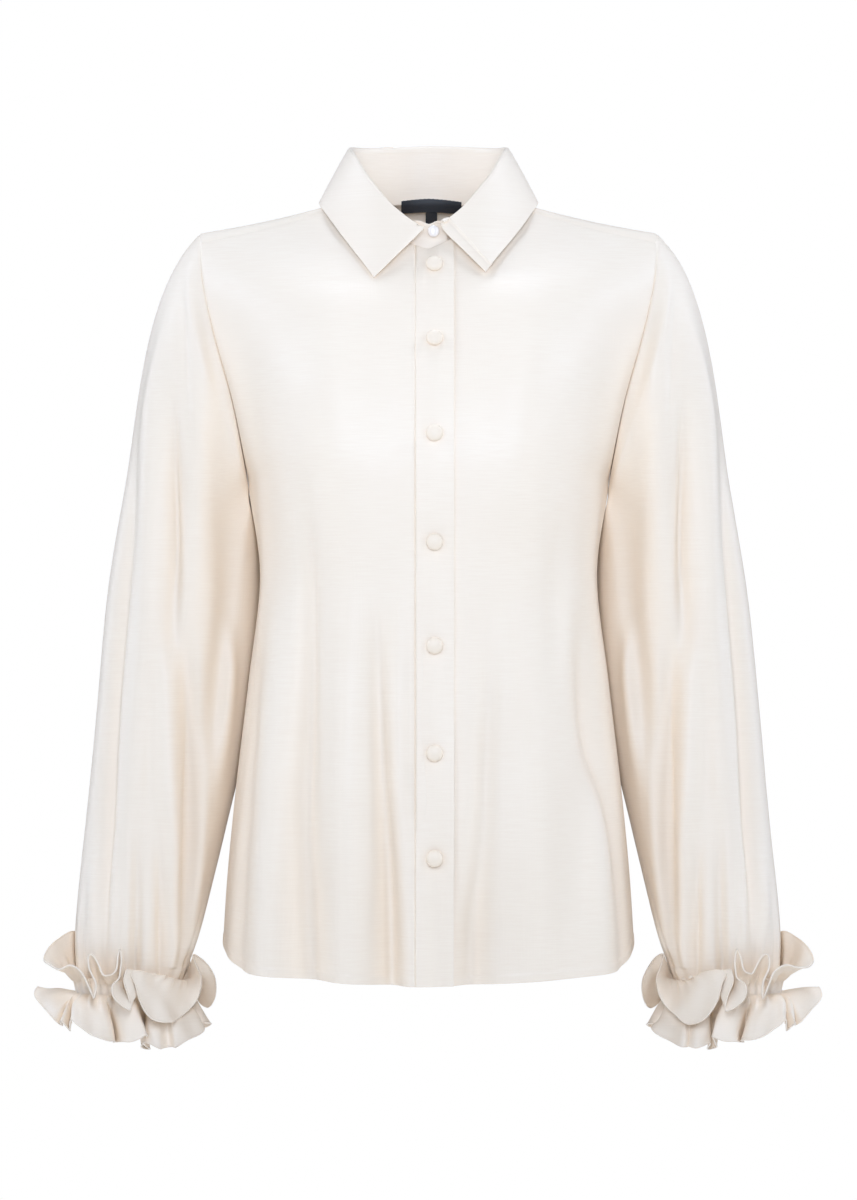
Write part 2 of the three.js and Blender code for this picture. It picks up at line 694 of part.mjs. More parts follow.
const halfPanel = [0, 0.14, 0.28, 0.42, 0.56, 0.7, 0.85, 1];
const acrossBack = [...halfPanel.slice(1).map((s) => -s).reverse(), ...halfPanel];
add(
  "back",
  clothWall((u, v) => backSurface(u * (1 - EDGE_INSET), v), {
    us: acrossBack,
    vs: [0, 0.125, 0.25, 0.375, 0.5, 0.5625, 0.625, 0.7, 0.8, 0.9, 0.997],
    thickness: CLOTH,
    facing: -1,
  }),
);
const halfYoke = [0, 0.13, 0.26, NECK_SHARE, 0.52, 0.64, 0.76, 0.88, 1];
add(
  "yoke",
  clothWall((u, v) => yokeSurface(u * (1 - EDGE_INSET), v), {
    us: [...halfYoke.slice(1).map((s) => -s).reverse(), ...halfYoke],
    vs: [0.002, 0.12, 0.25, 0.37, 0.5, 0.64, 0.76, 0.88, 0.985],
    thickness: CLOTH,
    facing: -1,
  }),
);

// ---------------------------------------------------------------- sleeves and ruffles

const SLEEVE_ANGLES = turns(26);
const SLEEVE_LEVELS = [0, 0.07, 0.15, 0.25, 0.36, 0.47, 0.58, 0.69, 0.8, 0.89, 0.95, 1];
const RUFFLE_LEVELS = [-1, -0.5, 0, 0.28, 0.62, 1];
const RUFFLE_ANGLES = turns(360 / FLUTE_STEP);
for (const [side, place, facing] of [
  ["left", (surface) => surface, 1],
  ["right", mirrored, -1],
]) {
  add(
    `sleeve_${side}`,
    clothWall(place(sleeveSurface), {
      us: SLEEVE_ANGLES,
      vs: SLEEVE_LEVELS,
      thickness: CLOTH,
      facing,
      ring: true,
    }),
  );
  add(
    `ruffle_${side}`,
    clothWall(place(ruffleSurface), {
      us: RUFFLE_ANGLES,
      vs: RUFFLE_LEVELS,
      thickness: CLOTH,
      facing,
      lift: CLOTH / 2,
      ring: true,
    }),
  );
}

// ---------------------------------------------------------------- collar

add(
  "collar_stand",
  clothWall(standSurface, {
    us: lines(STAND_UNDER_END, STAND_OVER_END, 26),
    vs: [0, 0.5, 1],
    thickness: DOUBLE_CLOTH,
  }),
);
add(
  "collar",
  clothWall(collarSurface, {
    us: lines(COLLAR_RIGHT_END, COLLAR_LEFT_END, 28),
    vs: [0, 0.25, 0.5, 0.75, 1],
    thickness: DOUBLE_CLOTH,
    facing: -1,
  }),
);

// ---------------------------------------------------------------- buttons

// A covered button: a dome with a shallow back, facing +Z from z = 0.
function buttonGeometry() {
  const geometry = new THREE.SphereGeometry(1, 10, 5).rotateX(Math.PI / 2);
  const { position } = geometry.attributes;
  for (let i = 0; i < position.count; i += 1) {
    const z = position.getZ(i);
    position.setXYZ(
      i,
      position.getX(i) * BUTTON.radius,
      position.getY(i) * BUTTON.radius,
      BUTTON.back + (z > 0 ? z * (BUTTON.height - BUTTON.back) : z * BUTTON.back),
    );
  }
  return geometry;
}

// Places a button on a surface: at a point, with its dome along the outward direction.
function addButton(name, point, outward, scale = 1) {
  const mesh = add(name, buttonGeometry().scale(scale, scale, scale));
  mesh.quaternion.setFromUnitVectors(new THREE.Vector3(0, 0, 1), outward);
  mesh.position.copy(point);
}

// The band's own flat facets: the front's centre at a distance x across, between two of its rows.
function onBand(x, level) {
  const row = Math.max(1, FRONT_LEVELS.findIndex((v) => v >= level));
  const [low, high] = [FRONT_LEVELS[row - 1], FRONT_LEVELS[row]];
  const share = (level - low) / (high - low);
  return centreFront(x, low).lerp(centreFront(x, high), share);
}

// The level of the front at which its centre has a given height.
function levelAt(z) {
  let [low, high] = [0, 1];
  for (let i = 0; i < 40; i += 1) {
    const middle = (low + high) / 2;
    if (onBand(BUTTON.x, middle).z < z) low = middle;
    else high = middle;
  }
  return low;
}

for (const { name, z } of BUTTONS) {
  const level = levelAt(z);
  const up = onBand(BUTTON.x, level + 0.01).sub(onBand(BUTTON.x, level - 0.01));
  const outward = new THREE.Vector3(1, 0, 0).cross(up).normalize();
  const point = onBand(BUTTON.x, level).addScaledVector(outward, BAND.lift + 2 * SEAM_GAP);
  addButton(name, point, outward);
}

const collarButtonAt = standSurface(363.6, 0.72);
const collarButtonOut = new THREE.Vector3(0.06, -1, 0.06).normalize();
addButton("button_collar", collarButtonAt.addScaledVector(collarButtonOut, 1.4), collarButtonOut, 0.72);

// ---------------------------------------------------------------- label

// A flat woven piece that hangs from the back neck seam, inside the yoke. drop is how far below
// the seam its top lies, and behind is how far nearer the yoke it hangs.
function labelGeometry({ from, to, height }, drop, behind) {
  const surface = (x, v) => {
    const foot = neckline(180 - (Math.asin(x / NECK.halfWidth) * 180) / Math.PI);
    const down = drop + height * v;
    const away = behind - 2.4 + 0.4 * Math.max(0, down - 3.5);
    return new THREE.Vector3(x, foot.y + away, foot.z + STAND_CLEARANCE - down);
  };
  return clothWall(surface, { us: lines(from, to, 4), vs: [0, 0.3, 1], thickness: LABEL_CLOTH });
}
add("neck_label", labelGeometry(LABEL, 0, 0), woven);
add("size_tab", labelGeometry(SIZE_TAB, LABEL.height - SIZE_TAB.under, LABEL_CLOTH + 0.6), woven);

export default blouse;
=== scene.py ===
"""A woman's long-sleeved wool blouse, worn shape, with nobody in it.

The blouse is cut from a satin-faced wool. Its panels are sewn edge to edge, the collar and stand
are cut double, and the cuffs are gathered ruffles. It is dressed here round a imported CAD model, in
metres, with +Z up, the front facing -Y and the wearer's left on +X.
"""

import math

import bmesh
import bpy
import numpy as np
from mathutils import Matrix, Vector


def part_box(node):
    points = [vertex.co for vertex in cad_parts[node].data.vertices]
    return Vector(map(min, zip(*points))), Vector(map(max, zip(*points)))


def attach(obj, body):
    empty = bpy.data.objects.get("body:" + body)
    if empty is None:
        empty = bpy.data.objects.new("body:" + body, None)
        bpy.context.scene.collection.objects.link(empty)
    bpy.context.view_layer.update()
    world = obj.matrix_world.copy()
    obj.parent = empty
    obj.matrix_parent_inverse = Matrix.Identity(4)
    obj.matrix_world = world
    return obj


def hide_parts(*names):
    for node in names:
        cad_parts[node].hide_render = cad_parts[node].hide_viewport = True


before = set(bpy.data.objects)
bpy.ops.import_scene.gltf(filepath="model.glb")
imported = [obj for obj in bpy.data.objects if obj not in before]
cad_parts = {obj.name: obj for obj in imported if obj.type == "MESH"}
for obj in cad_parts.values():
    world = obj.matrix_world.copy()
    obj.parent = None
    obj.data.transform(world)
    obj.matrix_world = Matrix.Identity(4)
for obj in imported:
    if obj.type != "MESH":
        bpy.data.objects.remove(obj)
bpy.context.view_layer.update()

# ------------------------------------------------------------------------------ the two fronts
# Each front is one panel of satin-faced wool, from the button band to the side seam and from the
# shirt-tail hem to the neck and the yoke. It hangs from the shoulder over the bust and falls in
# soft upright folds. The seams turn in at its edges, and the hem is a narrow double turning.

MM = 0.001


def smooth(t):
    """An even ramp from 0 to 1."""
    t = np.clip(t, 0, 1)
    return t * t * (3 - 2 * t)


def through(rows, t, ring=False):
    """Rows of values, each one point or a point for every t, joined by a smooth curve read at t."""
    rows = np.asarray(rows, float)
    count = len(rows)
    start = np.clip(np.floor(t).astype(int), 0, count - (1 if ring else 2))
    part = (t - start)[:, None]

    def row(step):
        at = (start + step) % count if ring else np.clip(start + step, 0, count - 1)
        return rows[at, np.arange(len(t))] if rows.ndim == 3 else rows[at]

    a, b, c, d = row(-1), row(0), row(1), row(2)
    return 0.5 * (
        2 * b
        + (c - a) * part
        + (2 * a - 5 * b + 4 * c - d) * part**2
        + (3 * b - a - 3 * c + d) * part**3
    )


def curve(at, xs, ys):
    """A smooth curve through the points (xs, ys), read at every x in at."""
    xs, ys = np.asarray(xs, float), np.asarray(ys, float)
    slope = np.gradient(ys, xs)
    i = np.clip(np.searchsorted(xs, at) - 1, 0, len(xs) - 2)
    gap = xs[i + 1] - xs[i]
    t = np.clip((at - xs[i]) / gap, 0, 1)
    ease = smooth(t)
    return (
        ys[i] * (1 - ease)
        + ys[i + 1] * ease
        + gap * (t**3 - 2 * t**2 + t) * slope[i]
        + gap * (t**3 - t**2) * slope[i + 1]
    )


# The left armhole, round from the top of the shoulder over the front to the underarm and up the
# back: degrees along that way round, and x, y, z in millimetres.
ARMHOLE = np.array(
    [
        (0, 192.5, 3, -25),
        (45, 188.5, -34, -70),
        (80, 178, -54, -115),
        (115, 164, -59, -165),
        (145, 155, -44, -210),
        (180, 150.5, 0, -242),
        (215, 156, 47, -212),
        (245, 165, 66, -165),
        (280, 176, 64, -115),
        (315, 187, 42, -68),
    ],
    float,
)


def armhole(angle):
    """Points of the left armhole, in millimetres."""
    turn = np.atleast_1d(np.asarray(angle, float)) % 360
    at = ARMHOLE[:, 0]
    i = np.searchsorted(at, turn, side="right") - 1
    end = np.append(at[1:], 360)
    return through(ARMHOLE[:, 1:], i + (turn - at[i]) / (end[i] - at[i]), ring=True)


NECK_HALF_WIDTH = 66


def neckline(angle):
    """Points of the neck seam, by degrees from the centre front towards the wearer's left."""
    turn = np.radians(np.atleast_1d(np.asarray(angle, float)))
    across = np.abs(np.sin(turn))
    in_front = np.cos(turn) > 0
    depth = np.where(in_front, 60, 54)
    height = np.where(in_front, -42, 7.5)
    z = height + (1 - height) * across**1.3
    return np.stack([NECK_HALF_WIDTH * np.sin(turn), 2 - depth * np.cos(turn), z], -1)


# Level sections of the body, from the hem up, in millimetres: height and depth at the centre, then
# the side seam's x and z or, from the underarm up, the armhole angle where the section ends.
FRONT_SECTIONS = [
    (-648, 116, (172.5, -617)),
    (-575, 115, (168.5, -558)),
    (-490, 114, (161, -482)),
    (-400, 114, (151, -398)),
    (-310, 118, (141.5, -312)),
    (-245, 124, 180),
    (-205, 124, 145),
    (-160, 113, 115),
    (-118, 95, 80),
    (-78, 75, 45),
]
SIDE_CORNER = 5  # the row at which the side seam turns into the armhole


def section(row, facing, share, hem):
    """Points of one section. share is 0 at the centre and 1 at the side, facing -1 is the front."""
    height, depth, end = row
    x, y, z = (end[0], 0, end[1]) if isinstance(end, tuple) else armhole(end)[0]
    reach = max(0, facing * y)
    roundness = 2.3
    width = x / (1 - (reach / depth) ** roundness) ** (1 / roundness)
    turn = share * math.atan2(x, reach)
    s, c = np.abs(np.sin(turn)), np.cos(turn)
    radius = ((np.abs(c) / depth) ** roundness + (s / width) ** roundness) ** (-1 / roundness)
    across = np.abs(share)
    rise = 0.42 * across**1.6 + 0.58 * across**10 if hem else across**2
    past = 0 if reach else y * share**4
    return np.stack(
        [np.sign(turn) * radius * s, facing * radius * c + past, height + (z - height) * rise], -1
    )


def column_through(rows, t, corner, sharpness):
    """through(), but with a corner at one row, so that what lies beyond has no pull before it."""
    rows = np.asarray(rows, float)
    count = len(rows)
    each = np.arange(len(t))
    start = np.clip(np.floor(t).astype(int), 0, count - 2)
    part = (t - start)[:, None]
    below = (start < corner)[:, None]
    beyond = np.where(start < corner, corner + 1, corner - 1)
    before = np.where(below, rows[corner - 1, each], rows[corner + 1, each])
    straight = 2 * rows[corner] - before

    def row(step):
        at = np.clip(start + step, 0, count - 1)
        found = rows[at, each]
        bent = found + (straight - found) * sharpness[:, None]
        return np.where((at == beyond)[:, None], bent, found)

    a, b, c, d = row(-1), row(0), row(1), row(2)
    return 0.5 * (
        2 * b
        + (c - a) * part
        + (2 * a - 5 * b + 4 * c - d) * part**2
        + (3 * b - a - 3 * c + d) * part**3
    )


NECK_SHARE = 0.4  # the neckline's share of a panel's top edge; the rest is the shoulder
YOKE_FRONT_ANGLE = 78  # where the yoke's front seam meets the neckline, in degrees from the front
FRONT_VALLEY = (15, 15, 0, 0, 0)  # how deep the front sinks beside the sleeve, from the top down
FRONT_VALLEY_REACH = 55


def sunk(points, reach, depths):
    """The points, sunk where the body and the sleeve meet in front: reach millimetres to either
    side of the armhole, and lower down of the sleeve's inner edge, by depths at five heights."""
    x, y, down = np.abs(points[:, 0]), points[:, 1], -points[:, 2]
    line = curve(down, (25, 147, 250, 332, 416, 542, 620), (185, 165, 147, 145, 161, 180, 200))
    depth = curve(down, (40, 110, 170, 250, 330, 420, 540, 640), (0, 10, *depths, 0))
    near = smooth(1 - np.abs(x - line) / reach) * smooth(-y / 30)
    return points + np.stack([0 * x, depth * near, 0 * x], -1)


def front_top(share):
    """The top edge of a front: the neck seam, then the yoke's front seam out to the armhole."""
    neck = neckline(share / NECK_SHARE * YOKE_FRONT_ANGLE)
    along = np.clip((share - NECK_SHARE) / (1 - NECK_SHARE), 0, 1)[:, None]
    start, end = neckline(YOKE_FRONT_ANGLE), armhole(14)
    seam = start + (end - start) * along
    bow = np.sin(np.pi * along)
    seam = seam - np.concatenate([0 * bow, 4 * bow, 2.5 * bow], 1)
    return np.where((share <= NECK_SHARE)[:, None], neck, seam)


def front_surface(share, level):
    """Points of the left front without its folds: level is 0 at the hem and 1 at the top."""
    share, level = np.asarray(share, float), np.asarray(level, float)
    rows = [section(row, -1, share, i == 0) for i, row in enumerate(FRONT_SECTIONS)]
    rows.append(front_top(share))
    sharpness = np.clip(share, 0, 1) ** 6
    found = column_through(rows, level * (len(rows) - 1), SIDE_CORNER, sharpness)
    return sunk(found, FRONT_VALLEY_REACH, FRONT_VALLEY)


def front_share(x, level):
    """The share at which the front reaches x millimetres from the centre."""
    share = np.full(len(level), 0.06)
    for _ in range(6):
        here = front_surface(share, level)[:, 0]
        step = front_surface(share + 1e-3, level)[:, 0] - here
        share = share + (x - here) * 1e-3 / step
    return share


def folds(table, across, z):
    """How far soft folds lift the cloth at (across, z). Each fold is a list of rows from its top
    down: z, place across, half width and height, all in millimetres. A trough's height is less
    than nothing, and a fold fades out where its height comes to 0."""
    lift = np.zeros(len(z))
    for rows in table:
        down = -np.array([r[0] for r in rows], float)
        inside = (-z >= down[0]) & (-z <= down[-1])
        centre, width, height = (curve(-z, down, [r[k] for r in rows]) for k in (1, 2, 3))
        shape = np.exp(-(((across - centre) / np.maximum(width, 1)) ** 2))
        lift += np.where(inside, height * shape, 0)
    return lift


def ripple(points, seed, size, height):
    """A slight unevenness of the cloth: a few long soft waves in no order, size millimetres long."""
    rng = np.random.default_rng(seed)
    lift = np.zeros(len(points))
    for _ in range(14):
        way = rng.normal(size=3) * (1, 1, 0.35)
        way *= 2 * np.pi / (size * rng.uniform(0.7, 1.9) * np.linalg.norm(way))
        lift += np.sin(points @ way + rng.uniform(0, 2 * np.pi))
    return lift * height / 3.7


def colour(code):
    """A colour written as sRGB hex, turned to the linear values that a shader takes."""
    parts = [int(code[i : i + 2], 16) / 255 for i in (1, 3, 5)]
    return [p / 12.92 if p <= 0.04045 else ((p + 0.055) / 1.055) ** 2.4 for p in parts] + [1]


def add(material, kind, inputs=None, **settings):
    """Adds a shader node with its settings, and with its inputs set or linked."""
    made = material.node_tree.nodes.new(kind)
    for name, value in settings.items():
        setattr(made, name, value)
    for name, value in (inputs or {}).items():
        if isinstance(value, bpy.types.NodeSocket):
            material.node_tree.links.new(value, made.inputs[name])
        else:
            made.inputs[name].default_value = value
    return made


def satin_wool(name, light, shade, slub=1.0):
    """Satin-faced wool: a soft cloth with a broad sheen, and thick and thin threads that lie across
    it. The threads are 0.3 mm apart, too fine to show, so only the thicker slubs are drawn, about
    1 mm apart and 10 to 40 mm long."""
    made = bpy.data.materials.new(name)
    made.use_nodes = True
    made.node_tree.nodes.clear()
    laid = add(made, "ShaderNodeUVMap", uv_map="cloth")
    threads = add(made, "ShaderNodeMapping", {"Vector": laid.outputs[0], "Scale": (45, 950, 1)})
    slubs = add(
        made,
        "ShaderNodeTexNoise",
        {"Vector": threads.outputs[0], "Scale": 1.0, "Detail": 2.0, "Roughness": 0.6},
        noise_dimensions="2D",
    )
    warp = add(made, "ShaderNodeMapping", {"Vector": laid.outputs[0], "Scale": (700, 30, 1)})
    ends = add(
        made,
        "ShaderNodeTexNoise",
        {"Vector": warp.outputs[0], "Scale": 1.0, "Detail": 1.0},
        noise_dimensions="2D",
    )
    patch = add(
        made,
        "ShaderNodeTexNoise",
        {"Vector": laid.outputs[0], "Scale": 14.0, "Detail": 3.0},
        noise_dimensions="2D",
    )
    weave = add(
        made,
        "ShaderNodeMath",
        {0: slubs.outputs[0], 1: ends.outputs[0], 2: ends.outputs[0]},
        operation="MULTIPLY_ADD",
    )
    tone = add(
        made,
        "ShaderNodeMapRange",
        {"Value": slubs.outputs[0], "From Min": 0.3, "From Max": 0.7, "To Min": 0.0, "To Max": 1.0},
    )
    blotch = add(
        made,
        "ShaderNodeMath",
        {0: tone.outputs[0], 1: patch.outputs[0]},
        operation="MULTIPLY",
    )
    dye = add(
        made,
        "ShaderNodeMix",
        {"Factor": blotch.outputs[0], "A": colour(shade), "B": colour(light)},
        data_type="RGBA",
    )
    gloss = add(
        made,
        "ShaderNodeMapRange",
        {"Value": slubs.outputs[0], "From Min": 0.3, "From Max": 0.7, "To Min": 0.56, "To Max": 0.48},
    )
    relief = add(
        made,
        "ShaderNodeBump",
        {"Height": weave.outputs[0], "Strength": 0.07 * slub, "Distance": 0.0004},
    )
    face = add(
        made,
        "ShaderNodeBsdfPrincipled",
        {
            "Base Color": dye.outputs[2],
            "Roughness": gloss.outputs[0],
            "Normal": relief.outputs[0],
            "IOR": 1.6,
            "Sheen Weight": 0.2,
            "Sheen Roughness": 0.45,
            "Sheen Tint": colour("#FFF4E6"),
        },
    )
    add(made, "ShaderNodeOutputMaterial", {"Surface": face.outputs[0]})
    return made


satin = satin_wool("satin_faced_wool", "#F6E5CE", "#F2DFC7")


def graded(count, ends=0.7):
    """count + 1 values from 0 to 1, closer together near both ends, where the seams turn in."""
    t = np.linspace(0, 1, count + 1)
    return t - ends * np.sin(2 * np.pi * t) / (2 * np.pi)


def cloth(
    name,
    surface,
    across,
    down,
    thick=0.5,
    facing=1,
    relief=None,
    sewn="",
    hem="",
    ring=False,
    ends=(0.7, 0.7),
    tuck=0.5,
    under=0.9,
    rolled=None,
    dye=None,
):
    """A panel of cloth, thick millimetres thick: a grid of across by down cells laid on surface(u, v)
    in millimetres, u and v both from 0 to 1, and lifted by relief(points, u, v). sewn and hem name
    its edges that are seams and hems, as letters of lrbt: u = 0, u = 1, v = 0 and v = 1. A sewn edge
    dips by tuck, turns in, and reaches under its neighbour by under. facing is 1 where the outside
    is on the side of du x dv. rolled is how thick the free edges at v = 0 and v = 1 are, where they
    are rolled. Its UV map "cloth" is laid out in metres."""
    grid = bmesh.new()
    bmesh.ops.create_grid(grid, x_segments=across, y_segments=down, size=0.5)
    grid.verts.ensure_lookup_table()
    place = np.array([v.co[:2] for v in grid.verts]) + 0.5
    col = np.rint(place[:, 0] * across).astype(int)
    row = np.rint(place[:, 1] * down).astype(int)
    us = np.linspace(0, 1, across + 1) if ring else graded(across, ends[0])
    u, v = np.meshgrid(us, graded(down, ends[1]))
    points = surface(u.ravel(), v.ravel()).reshape(down + 1, across + 1, 3)

    def outward(points):
        du, dv = np.gradient(points, axis=1), np.gradient(points, axis=0)
        if ring:
            du[:, 0] = du[:, -1] = points[:, 1] - points[:, -2]
        out = np.cross(du, dv) * facing
        return out / np.maximum(np.linalg.norm(out, axis=2, keepdims=True), 1e-9)

    out = outward(points)
    wide = np.linalg.norm(np.diff(points, axis=1), axis=2).cumsum(1)
    wide = np.concatenate([np.zeros((down + 1, 1)), wide], 1)
    long = np.linalg.norm(np.diff(points, axis=0), axis=2).cumsum(0)
    long = np.concatenate([np.zeros((1, across + 1)), long], 0)
    away = {"l": wide, "r": wide[:, -1:] - wide, "b": long, "t": long[-1:] - long}
    lift = np.zeros_like(u)
    if relief is not None:
        flat = points.reshape(-1, 3)
        lift += relief(flat, u.ravel(), v.ravel()).reshape(u.shape)
    for edge in sewn:
        lift *= smooth(away[edge] / 22)
    for edge in sewn:
        lift -= tuck * np.exp(-((away[edge] / 1.6) ** 2))
    for edge in hem:
        lift += 0.35 * (1 - smooth((away[edge] - 6.2) / 1.6))
    points = points + out * lift[..., None]
    for edge in sewn:
        end, next_in = {
            "l": (np.s_[:, 0], np.s_[:, 1]),
            "r": (np.s_[:, -1], np.s_[:, -2]),
            "b": (np.s_[0], np.s_[1]),
            "t": (np.s_[-1], np.s_[-2]),
        }[edge]
        beyond = points[end] - points[next_in]
        beyond /= np.maximum(np.linalg.norm(beyond, axis=1, keepdims=True), 1e-6)
        points[end] += under * beyond - 1.6 * out[end]
    laid = np.stack([wide - wide.mean(1, keepdims=True), points[..., 2]], -1) * MM
    edge_share = np.exp(-((np.minimum(away["b"], away["t"]) / 0.9) ** 4))
    weights = grid.verts.layers.deform.verify()
    for vert, i, j in zip(grid.verts, col, row):
        vert.co = points[j, i] * MM
        if rolled:
            vert[weights][0] = edge_share[j, i]
    layer = grid.loops.layers.uv.new("cloth")
    for face in grid.faces:
        for loop in face.loops:
            k = loop.vert.index
            loop[layer].uv = laid[row[k], col[k]]
    if ring:
        bmesh.ops.remove_doubles(grid, verts=grid.verts, dist=1e-6)
    if facing < 0:
        bmesh.ops.reverse_faces(grid, faces=grid.faces)
    mesh = bpy.data.meshes.new(name)
    grid.to_mesh(mesh)
    grid.free()
    mesh.shade_smooth()
    mesh.materials.append(dye or satin)
    piece = bpy.data.objects.new(name, mesh)
    bpy.context.scene.collection.objects.link(piece)
    wall = piece.modifiers.new("wall", "SOLIDIFY")
    wall.thickness, wall.offset = thick * MM, -1
    if rolled:
        wall.offset, wall.thickness = 0, rolled * MM
        wall.vertex_group = piece.vertex_groups.new(name="rolled_edge").name
        wall.thickness_vertex_group = thick / rolled
    return piece


def mirrored(surface):
    """The same surface on the wearer's right."""
    return lambda u, v: surface(u, v) * (-1, 1, 1)


def dressed(piece, node):
    """The piece rides on the one body and stands for its CAD node."""
    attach(piece, "root")
    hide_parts(node)


# The folds of each front, from the bust down, with x from the centre outwards. The last of each is
# the fullness over the bust. They hang FRONT_FOLD_DEPTH times as deep as the tables' heights.
FRONT_FOLD_DEPTH = 2.2
RIGHT_FOLDS = [
    [(-215, 102, 7, 0), (-290, 98, 7, -2.5), (-380, 99, 8, -4.5), (-500, 104, 11, -6), (-670, 104, 16, -7)],
    [(-330, 42, 7, 0), (-400, 41, 7, -2.5), (-500, 37, 8, -4.5), (-590, 32, 12, -6.5), (-670, 28, 16, -7)],
    [(-240, 66, 16, 0), (-350, 67, 15, 2.5), (-500, 68, 15, 4.5), (-670, 68, 18, 5)],
    [(-300, 124, 12, 0), (-420, 128, 12, 3), (-540, 132, 13, 4.5), (-670, 134, 15, 4)],
    [(-300, 146, 9, 0), (-420, 149, 9, -2.5), (-540, 158, 9, -3), (-670, 163, 10, -3)],
    [(-300, 20, 9, 0), (-430, 20, 9, 2), (-560, 17, 8, 2), (-670, 14, 8, 1.5)],
    [(-70, 84, 34, 0), (-150, 80, 34, 5), (-230, 80, 30, 4), (-320, 84, 30, 0)],
]
LEFT_FOLDS = [
    [
        (-330, 126, 10, 0), (-380, 131, 11, -4), (-440, 139, 12, -6.5),
        (-500, 150, 10, -4), (-560, 160, 9, -2), (-670, 166, 10, -2),
    ],
    [(-460, 140, 10, 0), (-530, 140, 10, 4), (-600, 143, 12, 4), (-670, 146, 14, 3)],
    [(-330, 88, 20, 0), (-440, 86, 19, 3), (-560, 88, 19, 4), (-670, 90, 20, 4)],
    [(-370, 50, 7, 0), (-450, 48, 7, -2.2), (-540, 44, 9, -3), (-600, 38, 13, -5.5), (-670, 36, 16, -6.5)],
    [(-250, 104, 8, 0), (-340, 104, 8, -2), (-420, 106, 9, 0)],
    [(-300, 70, 16, 0), (-380, 68, 15, 2), (-460, 66, 15, 0)],
    [(-60, 86, 34, 0), (-140, 82, 34, 5), (-230, 82, 30, 4), (-330, 84, 30, 0)],
]


HEM_SWING = 9
LEFT_FRONT_EDGE, RIGHT_FRONT_EDGE = -9.8, 10.8


def hem_in(points):
    """How far the fronts swing in towards their hem, and less so near the side seams."""
    x, z = np.abs(points[:, 0]), points[:, 2]
    return -HEM_SWING * smooth((-z - 490) / 170) * (1 - smooth((x - 85) / 50))


def front_relief(table, seed):
    def relief(points, u, v):
        z = points[:, 2]
        uneven = ripple(points, seed, 90, 0.8) * smooth(-(z + 60) / 120)
        return FRONT_FOLD_DEPTH * folds(table, np.abs(points[:, 0]), z) + uneven + hem_in(points)

    return relief


def front_panel(edge):
    """A front from its straight edge, edge millimetres from the centre, out to the side."""

    def surface(u, v):
        near = front_share(edge, v)
        return front_surface(near + (1 - near) * u, v)

    return surface


front_left = cloth(
    "front_left_panel",
    front_panel(LEFT_FRONT_EDGE),
    84,
    210,
    relief=front_relief(LEFT_FOLDS, 3),
    sewn="rt",
    hem="b",
)
front_right = cloth(
    "front_right_panel",
    mirrored(front_panel(RIGHT_FRONT_EDGE)),
    84,
    210,
    facing=-1,
    relief=front_relief(RIGHT_FOLDS, 5),
    sewn="lrt",
    hem="b",
)
dressed(front_left, "front_left")
dressed(front_right, "front_right")

# --------------------------------------------------------------------------- the button band
# A straight strip, cut double and interlined, down the right front's edge. Its edge on the
# wearer's right is the seam that joins it to the front. The other edge is a fold that laps over the
# left front, so it stands clear and throws a thin shadow.

BAND_FROM, BAND_WIDTH = -10.8, 31.8
BAND_FOLDS = [[(-430, 18, 9, 0), (-560, 18, 9, 1.0), (-670, 18, 10, 1.4)]]


def centre_front(x, v):
    """Points of both fronts near the centre, x millimetres across."""
    side = np.where(x < 0, -1.0, 1.0)
    found = front_surface(front_share(np.abs(x), v), v)
    return found * np.stack([side, np.ones_like(x), np.ones_like(x)], -1)


def band_surface(u, v):
    return centre_front(BAND_FROM + BAND_WIDTH * u, v)


def band_relief(points, u, v):
    height = 0.6 + 1.1 * smooth(u / 0.35) + ripple(points, 11, 60, 0.25)
    hang = folds(BAND_FOLDS, points[:, 0], points[:, 2])
    return height + hang + hem_in(points)


band = cloth(
    "button_band_strip", band_surface, 20, 220, thick=1.1, relief=band_relief, sewn="l", tuck=0.3
)
dressed(band, "button_band")

# --------------------------------------------------------------------------- the back
# One wide panel of the same wool from side seam to side seam, sewn to the yoke above and hemmed
# with the fronts below. It hangs from the shoulder blades in four or five loose upright folds.

BACK_SECTIONS = [
    (-655, 106, (172.5, -617)),
    (-575, 103, (168.5, -558)),
    (-490, 97, (161, -482)),
    (-400, 90, (151, -398)),
    (-310, 87, (141.5, -312)),
    (-240, 94, 180),
    (-200, 98, 215),
    (-155, 100, 245),
    (-108, 97, 280),
]
BACK_FOLDS = [
    [(-150, -4, 14, 0), (-260, -6, 13, -2.6), (-420, -2, 14, -3.6), (-680, 2, 18, -4.4)],
    [(-200, 36, 15, 0), (-320, 38, 15, 3), (-480, 40, 16, 4), (-680, 44, 20, 4.6)],
    [(-170, -44, 15, 0), (-300, -42, 15, 3), (-480, -44, 16, 3.8), (-680, -46, 20, 4.4)],
    [(-180, 78, 14, 0), (-290, 76, 14, -3), (-450, 82, 15, -4), (-680, 86, 18, -4.6)],
    [(-160, -84, 14, 0), (-280, -80, 14, -3), (-450, -84, 15, -4.2), (-680, -90, 18, -4.4)],
    [(-280, 118, 14, 0), (-400, 116, 14, 2.8), (-540, 122, 15, 3.6), (-680, 126, 17, 3.8)],
    [(-260, -120, 14, 0), (-400, -116, 14, 2.6), (-540, -120, 15, 3.4), (-680, -124, 17, 3.6)],
    [(-250, 60, 12, 0), (-300, 20, 12, -1.2), (-330, -30, 12, -1.0), (-360, -70, 12, 0)],
]


HEM_RAISED = 10


